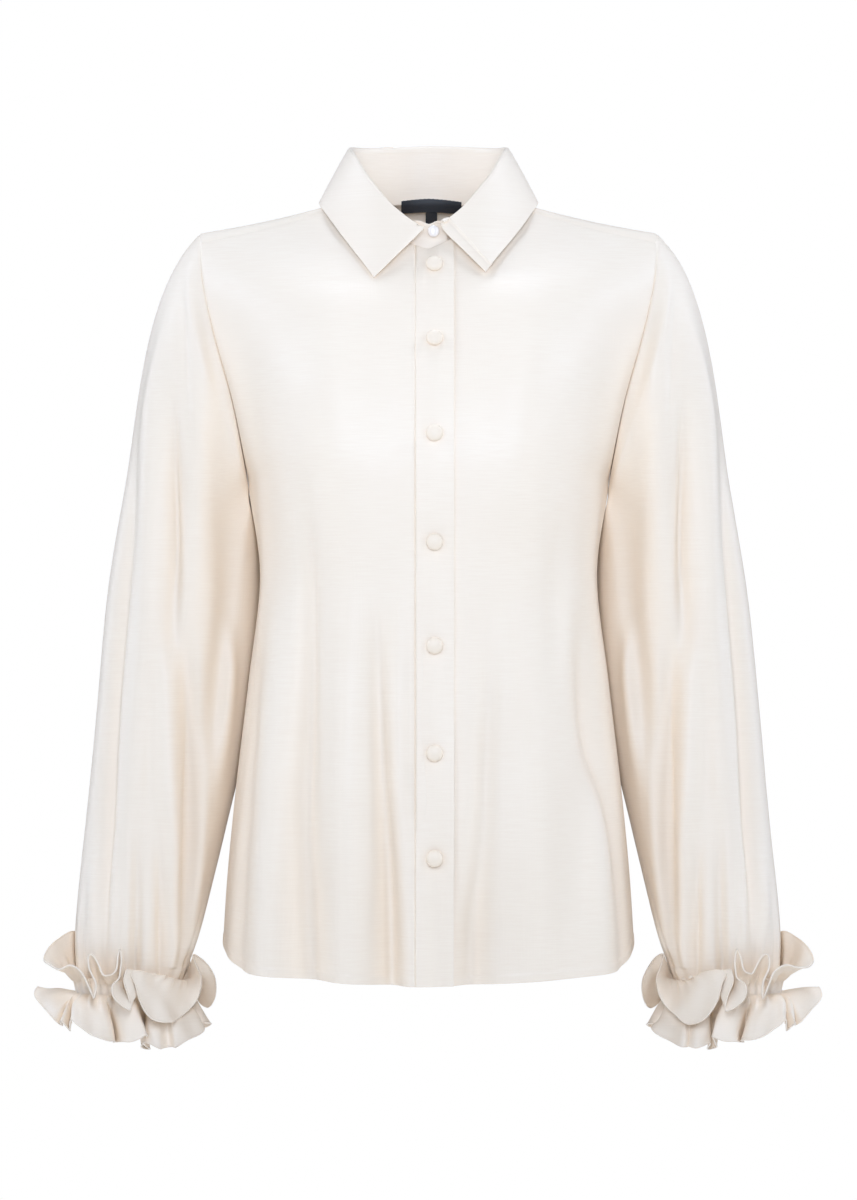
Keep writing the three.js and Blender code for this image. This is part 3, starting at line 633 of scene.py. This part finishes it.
def back_surface(u, v):
    share = 2 * u - 1
    rows = [section(row, 1, np.abs(share), i == 0) for i, row in enumerate(BACK_SECTIONS)]
    found = column_through(rows, v * (len(rows) - 1), SIDE_CORNER, np.abs(share) ** 6)
    # Beside the side seams the back's hem stays above the front's.
    raised = smooth((np.abs(share) - 0.55) / 0.2) * smooth((1 - np.abs(share)) / 0.08)
    found[:, 2] += HEM_RAISED * raised * smooth(1 - v / 0.12)
    return found * np.stack([np.sign(share), np.ones_like(u), np.ones_like(u)], -1)


def back_relief(points, u, v):
    away = smooth(-(points[:, 2] + 112) / 60)
    return folds(BACK_FOLDS, points[:, 0], points[:, 2]) + ripple(points, 17, 90, 0.9) * away


back = cloth(
    "back_panel", back_surface, 150, 180, facing=-1, relief=back_relief, sewn="lrt", hem="b"
)
dressed(back, "back")

# --------------------------------------------------------------------------- the yoke
# A double piece across the shoulders. It meets the back between the shoulder blades, runs up to
# the neck, and turns over the shoulders to seams just in front of them.

YOKE_SECTIONS = [(-108, 97, 280), (-66, 91, 308), (-27, 80, 336)]


def yoke_surface(u, v):
    share = 2 * u - 1
    out = np.abs(share)
    rows = [section(row, 1, out**0.8, False) for row in YOKE_SECTIONS]
    along = np.clip((out - NECK_SHARE) / (1 - NECK_SHARE), 0, 1)[:, None]
    ridge = neckline(90) + (armhole(0) - neckline(90)) * along
    ridge = ridge + (0.5 - 2 * np.sin(np.pi * along)) * (0, 0, 1)
    part = np.clip(out / NECK_SHARE, 0, 1)
    angle = 180 - 90 * part
    away = 12 * (1 - part**2)
    turn = np.radians(angle)
    beside = neckline(angle) + np.stack([np.sin(turn) * away, -np.cos(turn) * away, -0.4 * away], -1)
    far = (out > NECK_SHARE)[:, None]
    rows.append(np.where(far, ridge, beside))
    rows.append(np.where(far, front_top(out), neckline(180 - (180 - YOKE_FRONT_ANGLE) * part)))
    found = through(rows, v * (len(rows) - 1))
    return found * np.stack([np.sign(share), np.ones_like(u), np.ones_like(u)], -1)


yoke = cloth("yoke_piece", yoke_surface, 160, 60, thick=0.8, facing=-1, sewn="lrbt", ends=(0.4, 0.7))
dressed(yoke, "yoke")

# --------------------------------------------------------------------------- the sleeves
# Full set-in sleeves, cut wide at the wrist and gathered into it. The cap is eased into the
# armhole, the cloth falls from it in long soft folds, and small pleats spread from the wrist.

# Rings of the left sleeve below the cap: z, then the middle's x and y, half width, half depth, and
# how much higher the outer side is than the middle.
SLEEVE_RINGS = [
    (-262, 198.3, 34, 56.2, 62, 28),
    (-340, 207.3, 38, 63.7, 60, 14),
    (-430, 217, 38, 64.5, 58, 7),
    (-520, 230.7, 26, 59.2, 54, 3),
    (-600, 243.2, 10, 53.2, 47, 1),
    (-634, 248, 2, 47.5, 38.3, 0),
    (-658, 251, 0, 41.5, 34, 0),
]
CAP_SHARE = 0.36  # the share of the sleeve's length that is its cap
SLEEVE_VALLEY = (15, 15, 15, 17, 14)  # how deep the sleeve sinks beside the body, from the top down
SLEEVE_VALLEY_REACH = 38


def sleeve_ring(ring, turn):
    z, x, y, half_width, half_depth, tilt = ring
    return np.stack(
        [x + half_width * np.cos(turn), y - half_depth * np.sin(turn), z + tilt * np.cos(turn)], -1
    )


def sleeve_surface(u, v):
    """Points of the left sleeve: u runs round from the underarm over the back and the outer side
    to the front and the underarm again, v from the armhole to the wrist."""
    angle = (180 + 360 * u) % 360
    turn = np.radians(angle)
    rings = [sleeve_ring(ring, turn) for ring in SLEEVE_RINGS]
    below = through(rings, np.clip((v - CAP_SHARE) / (1 - CAP_SHARE), 0, 1) * (len(rings) - 1))
    # The cap leaves the armhole outwards and bends over into the hanging sleeve.
    start, end = armhole(angle), rings[0]
    reach = np.linalg.norm(end - start, axis=1, keepdims=True)
    upper = ((1 + np.cos(turn)) / 2)[:, None]
    out_x = 0.2 + 0.95 * upper - 0.42 * upper**2
    out_y = -0.22 * np.sin(turn)[:, None]
    leave = np.concatenate([out_x, out_y, -np.sqrt(1 - out_x**2 - out_y**2)], 1)
    leave = leave * reach * (0.5 + 0.36 * upper)
    arrive = rings[1] - end
    arrive = arrive / np.linalg.norm(arrive, axis=1, keepdims=True) * reach * 0.95
    t = np.clip(v / CAP_SHARE, 0, 1)[:, None]
    cap = (
        start * (2 * t**3 - 3 * t**2 + 1)
        + leave * (t**3 - 2 * t**2 + t)
        + end * (-2 * t**3 + 3 * t**2)
        + arrive * (t**3 - t**2)
    )
    found = np.where((v < CAP_SHARE)[:, None], cap, below)
    return sunk(found, SLEEVE_VALLEY_REACH, SLEEVE_VALLEY)


# Folds of the left sleeve's front half and back half, with x for the place across. They hang
# SLEEVE_FOLD_DEPTH times as deep as the tables' heights.
SLEEVE_FOLD_DEPTH = 1.9
SLEEVE_FRONT_FOLDS = [
    [(-190, 246, 6, 0), (-270, 252, 6, -3), (-420, 266, 6, -5), (-550, 270, 6, -4.5), (-620, 270, 5, 0)],
    [
        (-60, 216, 11, 0), (-150, 229, 11, 3), (-240, 231, 11, 4.5), (-340, 234, 11, 4.5),
        (-460, 243, 10, 4), (-560, 247, 8, 2.5), (-650, 250, 6, 1.5),
    ],
    [
        (-150, 213, 5, 0), (-220, 213, 5, -3.5), (-300, 211, 5, -4.5),
        (-350, 213, 6, -2.5), (-400, 215, 7, 0),
    ],
    [(-110, 190, 12, 0), (-180, 193, 11, 2.5), (-270, 192, 11, 3), (-350, 192, 11, 0)],
    [(-320, 220, 9, 0), (-400, 219, 10, 3), (-500, 215, 10, 4.5), (-580, 211, 8, 3), (-640, 211, 6, 1)],
    [(-350, 204, 8, 0), (-410, 201, 8, -4), (-490, 199, 8, -5), (-570, 203, 7, -3.5), (-640, 205, 5, -2)],
    [(-345, 165, 6, 0), (-388, 166, 6, 3.5), (-440, 171, 6, 2.5), (-500, 180, 7, 0)],
    [(-440, 186, 8, 0), (-520, 191, 8, 3), (-600, 198, 6, 2.5), (-655, 207, 5, 1.5)],
    [(-480, 244, 6, 0), (-560, 243, 5, -3), (-620, 244, 4.5, -3.5), (-658, 244, 4, -3)],
    [(-500, 222, 6, 0), (-570, 222, 5, -2.5), (-620, 221, 4.5, -3.5), (-658, 221, 4, -3)],
    [(-520, 262, 5, 0), (-580, 262, 4.5, 2.5), (-640, 260, 4, 2), (-658, 260, 4, 1)],
    [(-540, 280, 5, 0), (-600, 280, 4, 2), (-655, 277, 4, 1)],
    [(-35, 192, 9, 0), (-80, 196, 8, 2.5), (-140, 187, 8, 2), (-200, 176, 8, 0)],
    [(-60, 205, 7, 0), (-110, 206, 7, -2), (-190, 198, 7, -1.5), (-240, 190, 8, 0)],
    [(-240, 168, 12, 0), (-320, 166, 12, -3), (-400, 172, 12, -3), (-470, 182, 10, 0)],
]
SLEEVE_BACK_FOLDS = [
    [
        (-120, 210, 12, 0), (-220, 214, 12, -2.6), (-360, 220, 12, -3.6),
        (-520, 232, 11, -3.2), (-600, 238, 9, 0),
    ],
    [
        (-160, 238, 12, 0), (-280, 244, 11, 2.4), (-420, 248, 11, 3.0),
        (-560, 250, 10, 2.0), (-640, 252, 8, 0),
    ],
    [
        (-200, 184, 12, 0), (-320, 186, 12, 2.6), (-460, 194, 12, 3.0),
        (-580, 212, 10, 1.4), (-640, 224, 8, 0),
    ],
    [(-480, 262, 6, 0), (-580, 262, 5, -2.2), (-658, 262, 4, -2.4)],
    [(-490, 244, 6, 0), (-590, 243, 5, -2.4), (-658, 243, 4, -2.6)],
    [(-500, 222, 6, 0), (-590, 224, 5, -2.2), (-658, 226, 4, -2.4)],
    [(-310, 262, 9, 0), (-420, 266, 8, -2.4), (-540, 270, 8, -1.8), (-600, 272, 8, 0)],
]


def sleeve_relief(points, u, v):
    x, z = np.abs(points[:, 0]), points[:, 2]
    in_front = u > 0.5
    lift = np.where(in_front, folds(SLEEVE_FRONT_FOLDS, x, z), folds(SLEEVE_BACK_FOLDS, x, z))
    turned = np.sin(2 * np.pi * u) ** 2  # folds of the two halves meet in nothing at either side
    lift = SLEEVE_FOLD_DEPTH * lift * smooth(turned / 0.35)
    # Small gathers all round, where the fullness is drawn into the wrist.
    near = smooth((-z - 560) / 90)
    gather = np.sin(2 * np.pi * (19 * u + 0.4 * np.sin(2 * np.pi * 3 * u)))
    # Ease round the cap, where a longer edge is sewn to the armhole.
    cap = np.exp(-((v / 0.03) ** 2)) * 0.35 * np.sin(2 * np.pi * 26 * u + 2 * np.sin(9 * u))
    return lift + near * 1.1 * gather + cap + ripple(points, 23, 110, 1.0) * smooth(v / 0.1)


for side, place, facing in (("left", lambda s: s, 1), ("right", mirrored, -1)):
    sleeve = cloth(
        f"sleeve_{side}_tube",
        place(sleeve_surface),
        150,
        190,
        facing=facing,
        relief=sleeve_relief,
        sewn="b",
        tuck=0.1,
        under=4.0,
        ring=True,
        ends=(0, 0.5),
    )
    dressed(sleeve, f"sleeve_{side}")

# --------------------------------------------------------------------------- the ruffled cuffs
# A strip of the same wool, gathered along a line near its middle on to the wrist, so that one frill
# stands up round the sleeve and falls over, and a deeper one hangs over the hand. Both edges are
# finely rolled.

WRIST_X, WRIST_Y = 251, 0
WRIST_WIDE, WRIST_DEEP = 45, 37.5
# The free edges of the left ruffle, from the outer side round the front: degrees at the seam, the
# edge's x, y and z, and how far the frill's middle hangs below a straight line.
UPPER_FRILL = [
    (0, 320, -3, -625, 0), (10, 322, -16, -634, 0), (20, 310, -35, -638, 1), (30, 297, -45, -635, 0),
    (38, 286, -49, -642, 0), (46, 277, -61, -662, -3), (52, 275, -56, -650, -2),
    (58, 281, -48, -637, 0), (64, 281, -45, -627, 0), (69, 275, -48, -634, 0),
    (74, 269, -55, -643, 0), (80, 261, -51, -640, 0), (84, 259, -45, -628, 0),
    (88, 256, -44, -622, 0), (92, 254, -48, -633, 0), (96, 255, -56, -644, 0),
    (100, 262, -63, -650, 0), (104, 260, -67, -662, 0), (109, 246, -68, -671, -3),
    (113, 248, -64, -660, 0), (117, 253, -58, -647, 0), (121, 250, -53, -637, 0),
    (126, 243, -58, -649, -6), (132, 239, -63, -664, -6), (139, 232, -66, -675, -4),
    (146, 222, -64, -681, -2), (152, 212, -58, -682, 0), (158, 205, -48, -677, 0),
    (164, 198, -40, -671, 0), (170, 191, -34, -660, 0), (176, 190, -25, -646, 0),
    (181, 197, -13, -629, 0), (186, 188, -3, -634, 0), (191, 180, 4, -650, -3),
    (196, 180, 11, -666, -7), (201, 186, 19, -676, -9), (206, 194, 27, -671, -6),
    (212, 199, 35, -654, -2), (218, 203, 42, -636, 0), (224, 206, 50, -642, 0),
    (231, 214, 60, -664, -5), (238, 222, 56, -652, -2), (244, 226, 46, -630, 0),
    (250, 233, 46, -625, 0), (256, 233, 57, -640, 0), (262, 238, 68, -662, -3),
    (269, 247, 70, -668, -5), (275, 250, 60, -648, 0), (281, 252, 49, -630, 0),
    (287, 258, 46, -624, 0), (293, 265, 53, -637, 0), (299, 262, 64, -655, -2),
    (306, 272, 68, -664, -3), (312, 281, 59, -650, 0), (318, 280, 46, -631, 0),
    (325, 288, 41, -624, 0), (332, 297, 46, -638, -2), (338, 294, 40, -648, -4),
    (344, 291, 30, -624, 0), (350, 299, 16, -611, 0), (355, 312, 6, -617, 0),
]
LOWER_FRILL = [
    (0, 328, 2, -657, 0), (7, 330, -9, -664, 0), (12, 321, -18, -674, 0), (17, 312, -30, -682, 0),
    (20, 306, -27, -687, 0), (23, 305, -42, -683, 0), (27, 298, -35, -691, 0),
    (32, 297, -51, -680, 0), (41, 289, -59, -685, 0), (51, 279, -63, -691, 0),
    (60, 268, -64, -695, 0), (67, 260, -58, -697, 0), (72, 262, -38, -700, 0),
    (77, 254, -56, -698, 0), (85, 245, -62, -697, 0), (93, 233, -61, -692, 0),
    (98, 240, -43, -703, 0), (105, 232, -36, -706, 0), (112, 234, -54, -699, 0),
    (120, 222, -61, -703, 0), (126, 215, -54, -702, 0), (132, 209, -59, -702, 0),
    (141, 199, -49, -697, 0), (150, 187, -37, -691, 0), (157, 191, -25, -684, 0),
    (164, 201, -16, -691, 0), (172, 188, -9, -687, 0), (180, 184, 4, -690, 0),
    (187, 195, 10, -694, 0), (195, 189, 26, -690, 0), (204, 196, 39, -694, 0),
    (210, 209, 34, -700, 0), (217, 206, 53, -698, 0), (226, 214, 61, -701, 0),
    (236, 226, 63, -703, 0), (241, 234, 47, -704, 0), (246, 227, 40, -703, 0),
    (252, 236, 61, -703, 0), (262, 246, 67, -704, 0), (272, 258, 64, -704, 0),
    (277, 262, 45, -703, 0), (282, 256, 40, -702, 0), (289, 266, 61, -701, 0),
    (300, 278, 63, -699, 0), (310, 289, 56, -696, 0), (315, 287, 39, -697, 0),
    (321, 296, 49, -691, 0), (330, 307, 42, -687, 0), (336, 302, 28, -690, 0),
    (343, 316, 26, -679, 0), (352, 325, 13, -666, 0),
]


def frill(table, u, along, seam_z, lean, rise, fall):
    """Points of a frill. along is 0 at the seam and 1 at the free edge. The frill leaves the seam
    outwards by lean and upwards by rise, and drops by fall at its edge, in shares of its length."""
    rows = np.array(table, float)
    angle = 360 * u
    i = np.clip(np.searchsorted(rows[:, 0], angle, side="right") - 1, 0, len(rows) - 1)
    end = np.append(rows[1:, 0], 360)
    part = np.clip((angle - rows[i, 0]) / (end[i] - rows[i, 0]), 0, 1)
    found = through(rows[:, 1:], (i + part) % len(rows), ring=True)
    edge, belly = found[:, :3], found[:, 3:]
    turn = np.radians(angle)
    seam = np.stack(
        [
            WRIST_X + WRIST_WIDE * np.cos(turn),
            WRIST_Y - WRIST_DEEP * np.sin(turn),
            np.full_like(turn, seam_z),
        ],
        -1,
    )
    out = np.stack([np.cos(turn) / WRIST_WIDE, -np.sin(turn) / WRIST_DEEP, 0 * turn], -1)
    out /= np.linalg.norm(out, axis=1, keepdims=True)
    length = np.linalg.norm(edge - seam, axis=1, keepdims=True)
    up = np.array([0, 0, 1.0])
    leave = length * (lean * out + rise * up)
    arrive = (edge - seam) * 0.9 - length * fall * up
    t = along[:, None]
    found = (
        seam * (2 * t**3 - 3 * t**2 + 1)
        + leave * (t**3 - 2 * t**2 + t)
        + edge * (-2 * t**3 + 3 * t**2)
        + arrive * (t**3 - t**2)
    )
    pucker = 1.8 * np.sin(2 * np.pi * (31 * u + 0.35 * np.sin(2 * np.pi * 5 * u)))[:, None]
    found += out * pucker * smooth(t / 0.1) * (1 - smooth((t - 0.15) / 0.5))
    return found - up * belly * np.sin(np.pi * t)


def ruffle_surface(u, v):
    """Points of the left ruffle: u round the wrist, v from the lower free edge to the upper."""
    away = np.abs(2 * v - 1)
    upper = frill(UPPER_FRILL, u, away, -653, 0.5, 0.75, 0.3)
    lower = frill(LOWER_FRILL, u, away, -661, 0.75, 0.05, 0.3)
    return np.where((v > 0.5)[:, None], upper, lower)


def ruffle_relief(points, u, v):
    away = np.abs(2 * v - 1)
    return ripple(points, 31, 26, 1.1) * smooth(away / 0.3)


for side, place, facing in (("left", lambda s: s, 1), ("right", mirrored, -1)):
    ruffle = cloth(
        f"ruffle_{side}_frill",
        place(ruffle_surface),
        640,
        56,
        thick=0.5,
        facing=-facing,
        relief=ruffle_relief,
        ring=True,
        ends=(0, 0.55),
        rolled=1.5,
    )
    dressed(ruffle, f"ruffle_{side}")

# --------------------------------------------------------------------------- the collar stand
# A narrow band, cut double and interlined, that stands up from the neck seam and carries the
# collar. Its right end laps over the left and closes with a small button.

# The collar round the neck: degrees from the centre front, height of its fold, and the outer
# edge's x, y and z.
COLLAR = np.array(
    [
        (0, -25, 45.5, -73, -65),
        (20, -11.5, 53, -65, -54),
        (42, 12, 67, -48, -35.5),
        (68, 38.5, 83, -27, -13),
        (95, 48, 92, 4, 2),
        (125, 50, 82, 48, 2),
        (155, 52, 45, 77, -3),
        (180, 53, 0, 84, -5),
    ],
    float,
)


def collar_row(column, at):
    """A column of the collar's table at an angle, even on both sides of the neck."""
    i = np.clip(np.searchsorted(COLLAR[:, 0], at, side="right") - 1, 0, len(COLLAR) - 2)
    part = np.clip((at - COLLAR[i, 0]) / (COLLAR[i + 1, 0] - COLLAR[i, 0]), 0, 1)
    return through(COLLAR[:, column : column + 1], i + part)[:, 0]


def from_front(angle):
    return np.maximum(0, np.where(angle > 180, 360 - angle, angle))


def fold_line(angle):
    turn = np.radians(angle)
    at = from_front(angle)
    depth = np.where(at < 90, 60, 50)
    return np.stack([64.5 * np.sin(turn), 1 - depth * np.cos(turn), collar_row(1, at)], -1)


def near_throat(angle):
    """How near a point is to the centre front, from 0 to 1. There the stand's ends rise past the
    collar's fold, and the collar starts outside them."""
    return smooth((17 - from_front(angle)) / 12)


def stand_surface(u, v):
    angle = -8 + 382 * u
    throat = near_throat(angle)[:, None]
    foot = neckline(angle) - (0, 0, 1.8)
    top = fold_line(angle) + (0, 0, 1) * (6.5 * throat - 2.6)
    turn = np.radians(angle)
    out = np.stack([np.sin(turn), -np.cos(turn), 0 * turn], -1)
    bow = -1.5 * np.sin(np.pi * v) - 2.9 * smooth((45 - angle) / 30) - 0.6 * smooth(1 - v / 0.2)
    return foot + (top - foot) * v[:, None] + out * bow[:, None]


stand = cloth("collar_stand_band", stand_surface, 200, 16, thick=1.2)
dressed(stand, "collar_stand")

# --------------------------------------------------------------------------- the collar
# A pointed shirt collar, cut double with interlining between. It turns over along its fold and
# lies on the shoulders, and its front edges run down to two long points. The leaf on the wearer's
# left lifts a little at its front edge, where the cloth turns under in a narrow strip.

# How the cloth rolls over its fold: outwards and upwards of the fold line.
COLLAR_ROLL = ((-1.6, -4.5), (-0.9, -1.2), (1.2, 0.3), (4.4, -2.4))


def collar_surface(u, v):
    angle = 10.4 + 345.8 * u
    at = from_front(angle)
    side = np.where(angle > 180, -1, 1)
    turn = np.radians(angle)
    out = np.stack([np.sin(turn), -np.cos(turn), 0 * turn], -1)
    past = 2.9 * near_throat(angle)[:, None]
    fold = fold_line(angle)
    rolled = [fold + out * (o + past) + (0, 0, up) for o, up in COLLAR_ROLL]
    tip = smooth((60 - at) / 60)[:, None]
    lifted = np.where(side > 0, 1.0, 0.0)[:, None] * tip * (1.2, -3.0, 2.6)
    edge = np.stack([side * collar_row(2, at), collar_row(3, at), collar_row(4, at)], -1) + lifted
    edge += np.where(side < 0, 1.0, 0.0)[:, None] * tip * (1.0, 0, -2.0)
    edge += np.stack([0 * at, 3.9 * smooth((100 - at) / 40), 0 * at], -1)
    middle = (rolled[3] + edge) / 2 + out * 0.6
    found = through([*rolled, middle, edge], v * 5)
    # The front edge on the wearer's left turns under, and the turned part shows as a strip.
    back = np.clip((0.016 - u) / 0.016, 0, 1)[:, None] * smooth((v - 0.45) / 0.25)[:, None]
    return found + np.minimum(1, back * 6) * (0, 1.6, 0) + back * (-2.2, 0.4, -2.8)


def collar_relief(points, u, v):
    return ripple(points, 37, 60, 0.5) * smooth(v / 0.4)


collar = cloth(
    "collar_leaf", collar_surface, 240, 64, thick=1.3, facing=-1, relief=collar_relief, ends=(0.7, 0.5)
)
dressed(collar, "collar")

# --------------------------------------------------------------------------- the covered buttons
# Seven domed buttons of 14 mm, each a metal shell with a disc of the blouse's cloth stretched
# over it and tucked in behind. They sit closed on the band.


def button_mesh(name, radius, height, at, out, material):
    """A button: a dome spun from a half profile, with its back at the point at, facing out."""
    made = bmesh.new()
    profile = [(0, height), (0.35, height * 0.97), (0.62, height * 0.86), (0.82, height * 0.66)]
    profile += [(0.94, height * 0.42), (1.0, height * 0.2), (0.97, height * 0.06)]
    profile += [(0.86, 0), (0.4, 0), (0, 0)]
    verts = [made.verts.new((r * radius, 0, z)) for r, z in profile]
    edges = [made.edges.new(pair) for pair in zip(verts, verts[1:])]
    bmesh.ops.spin(
        made,
        geom=verts + edges,
        cent=(0, 0, 0),
        axis=(0, 0, 1),
        angle=2 * math.pi,
        steps=32,
        use_merge=True,
    )
    bmesh.ops.remove_doubles(made, verts=made.verts, dist=0.01)
    bmesh.ops.recalc_face_normals(made, faces=made.faces)
    turn = Vector((0, 0, 1)).rotation_difference(Vector(out))
    for vert in made.verts:
        vert.co = (turn @ vert.co + Vector(at)) * MM
    mesh = bpy.data.meshes.new(name)
    made.to_mesh(mesh)
    made.free()
    mesh.shade_smooth()
    mesh.materials.append(material)
    piece = bpy.data.objects.new(name, mesh)
    bpy.context.scene.collection.objects.link(piece)
    return piece


button_satin = satin_wool("button_satin", "#F4E2CA", "#EFDBC1")
for number in range(1, 8):
    low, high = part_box(f"button_{number}")
    middle = (low + high) / 2 / MM
    levels = np.linspace(0.02, 0.99, 400)
    line = centre_front(np.full(400, 5.0), levels)
    nearest = int(np.argmin(np.abs(line[:, 2] - middle.z)))
    slope = line[min(nearest + 4, 399)] - line[max(nearest - 4, 0)]
    out = Vector((0, -slope[2], slope[1])).normalized()
    place = Vector((5, line[nearest][1], middle.z)) + out * 2.3
    button = button_mesh(f"covered_button_{number}", 7, 4.6, place, out, button_satin)
    dressed(button, f"button_{number}")

# --------------------------------------------------------------------------- the stand's button
# A small pearl button at the throat, which closes the stand.

pearl = bpy.data.materials.new("pearl_shell")
pearl.use_nodes = True
pearl.node_tree.nodes.clear()
shell = add(
    pearl,
    "ShaderNodeBsdfPrincipled",
    {"Base Color": colour("#F6E9DC"), "Roughness": 0.22, "Coat Weight": 0.4, "Coat Roughness": 0.1},
)
add(pearl, "ShaderNodeOutputMaterial", {"Surface": shell.outputs[0]})
low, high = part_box("button_collar")
middle = (low + high) / 2 / MM
place = (middle.x, high.y / MM - 0.4, middle.z)
small = button_mesh("stand_button", 5, 3.0, place, (0.06, -1, 0.06), pearl)
dressed(small, "button_collar")

# --------------------------------------------------------------------------- the woven label
# A black damask label, folded at its ends and sewn under the back neck seam, with a small tab
# below it. Both are left bare.

damask = bpy.data.materials.new("black_damask")
damask.use_nodes = True
damask.node_tree.nodes.clear()
weft = add(damask, "ShaderNodeUVMap", uv_map="cloth")
ribs = add(
    damask,
    "ShaderNodeTexWave",
    {"Vector": weft.outputs[0], "Scale": 330.0, "Distortion": 0.6},
    bands_direction="Y",
)
rib_relief = add(
    damask, "ShaderNodeBump", {"Height": ribs.outputs[0], "Strength": 0.3, "Distance": 0.0003}
)
cloth_face = add(
    damask,
    "ShaderNodeBsdfPrincipled",
    {"Base Color": colour("#131316"), "Roughness": 0.5, "Normal": rib_relief.outputs[0]},
)
add(damask, "ShaderNodeOutputMaterial", {"Surface": cloth_face.outputs[0]})


def label_surface(start, end, height, drop, behind):
    def surface(u, v):
        x = start + (end - start) * u
        foot = neckline(180 - np.degrees(np.arcsin(x / NECK_HALF_WIDTH)))
        down = drop + height * (1 - v)
        away = behind - 2.4 + 0.4 * np.maximum(0, down - 3.5)
        return np.stack([x, foot[:, 1] + away, foot[:, 2] + 2.4 - down], -1)

    return surface


label = cloth("neck_label_piece", label_surface(-23, 28, 11.7, 0, 0), 40, 12, thick=0.5, dye=damask)
dressed(label, "neck_label")
tab = cloth("size_tab_piece", label_surface(-2.4, 7.4, 12, 9.2, 1.2), 12, 12, thick=0.4, dye=damask)
dressed(tab, "size_tab")

# --------------------------------------------------------------------------- floor and light
# A plain pale studio: a floor far below, a white surround, and tall soft lights in front, at the
# sides, above and behind, slightly blue against the warm cloth. A very small lamp lights the
# inside of the throat.

bpy.context.scene.view_settings.view_transform = "Standard"
floor_mesh = bpy.data.meshes.new("floor")
disc = bmesh.new()
bmesh.ops.create_circle(disc, cap_ends=True, segments=96, radius=4.2)
bmesh.ops.translate(disc, verts=disc.verts, vec=(0, 0, -1.45))
disc.to_mesh(floor_mesh)
disc.free()
floor = bpy.data.objects.new("floor", floor_mesh)
bpy.context.scene.collection.objects.link(floor)
paper = bpy.data.materials.new("matt_white_paper")
paper.use_nodes = True
paper.node_tree.nodes.clear()
sheet_face = add(
    paper,
    "ShaderNodeBsdfPrincipled",
    {
        "Base Color": colour("#F7F6F4"),
        "Roughness": 0.9,
        "Emission Color": (1, 1, 1, 1),
        "Emission Strength": 0.25,
    },
)
add(paper, "ShaderNodeOutputMaterial", {"Surface": sheet_face.outputs[0]})
floor_mesh.materials.append(paper)

world = bpy.data.worlds.new("studio")
bpy.context.scene.world = world
world.use_nodes = True
world.node_tree.nodes.clear()
seen = add(world, "ShaderNodeBackground", {"Color": (1, 1, 1, 1), "Strength": 1.0})
fill = add(world, "ShaderNodeBackground", {"Color": colour("#EFF5FF"), "Strength": 0.05})
path = add(world, "ShaderNodeLightPath")
both = add(
    world,
    "ShaderNodeMixShader",
    {0: path.outputs["Is Camera Ray"], 1: fill.outputs[0], 2: seen.outputs[0]},
)
add(world, "ShaderNodeOutputWorld", {"Surface": both.outputs[0]})


DAYLIGHT = "#D8E7FF"


def softbox(name, place, aim, size, power):
    """A soft light of size = (width, height) in metres, turned from place towards aim."""
    lamp = bpy.data.lights.new(name, "AREA")
    lamp.shape, lamp.size, lamp.size_y = "RECTANGLE", size[0], size[1]
    lamp.energy, lamp.color = power, colour(DAYLIGHT)[:3]
    made = bpy.data.objects.new(name, lamp)
    made.location = place
    made.rotation_euler = (Vector(aim) - Vector(place)).to_track_quat("-Z", "Y").to_euler()
    made.visible_camera = False
    bpy.context.scene.collection.objects.link(made)


softbox("key", (0, -1.5, 0.1), (0, 0, -0.2), (0.3, 1.0), 16.3)
for kind, (x, y, z), aim_z, size, power in (
    ("front", (1.9, -1.9, 0.2), -0.3, (0.5, 1.6), 15.5),
    ("side", (2.6, -0.4, 0.1), -0.3, (0.6, 1.8), 7),
    ("high", (2.0, -0.3, 1.3), -0.2, (0.8, 0.8), 24),
    ("rim", (2.3, 1.1, 0.1), -0.3, (0.8, 2.0), 17),
):
    softbox(f"{kind}_left", (-x, y, z), (0, 0, aim_z), size, power)
    softbox(f"{kind}_right", (x, y, z), (0, 0, aim_z), size, power)
softbox("throat", (0, -0.035, 0.004), (0, 0.07, -0.006), (0.05, 0.02), 0.02)
softbox("top", (0, 0.3, 2.2), (0, 0, -0.2), (0.4, 0.8), 21.4)

# --------------------------------------------------------------------------- camera
# A long lens level with the middle of the blouse, straight in front of it.

lens = bpy.data.cameras.new("camera")
lens.lens, lens.sensor_width = 142.9, 36
camera = bpy.data.objects.new("camera", lens)
camera.location = (0, -4, -0.332)
camera.rotation_euler = (math.pi / 2, 0, 0)
bpy.context.scene.collection.objects.link(camera)
bpy.context.scene.camera = camera
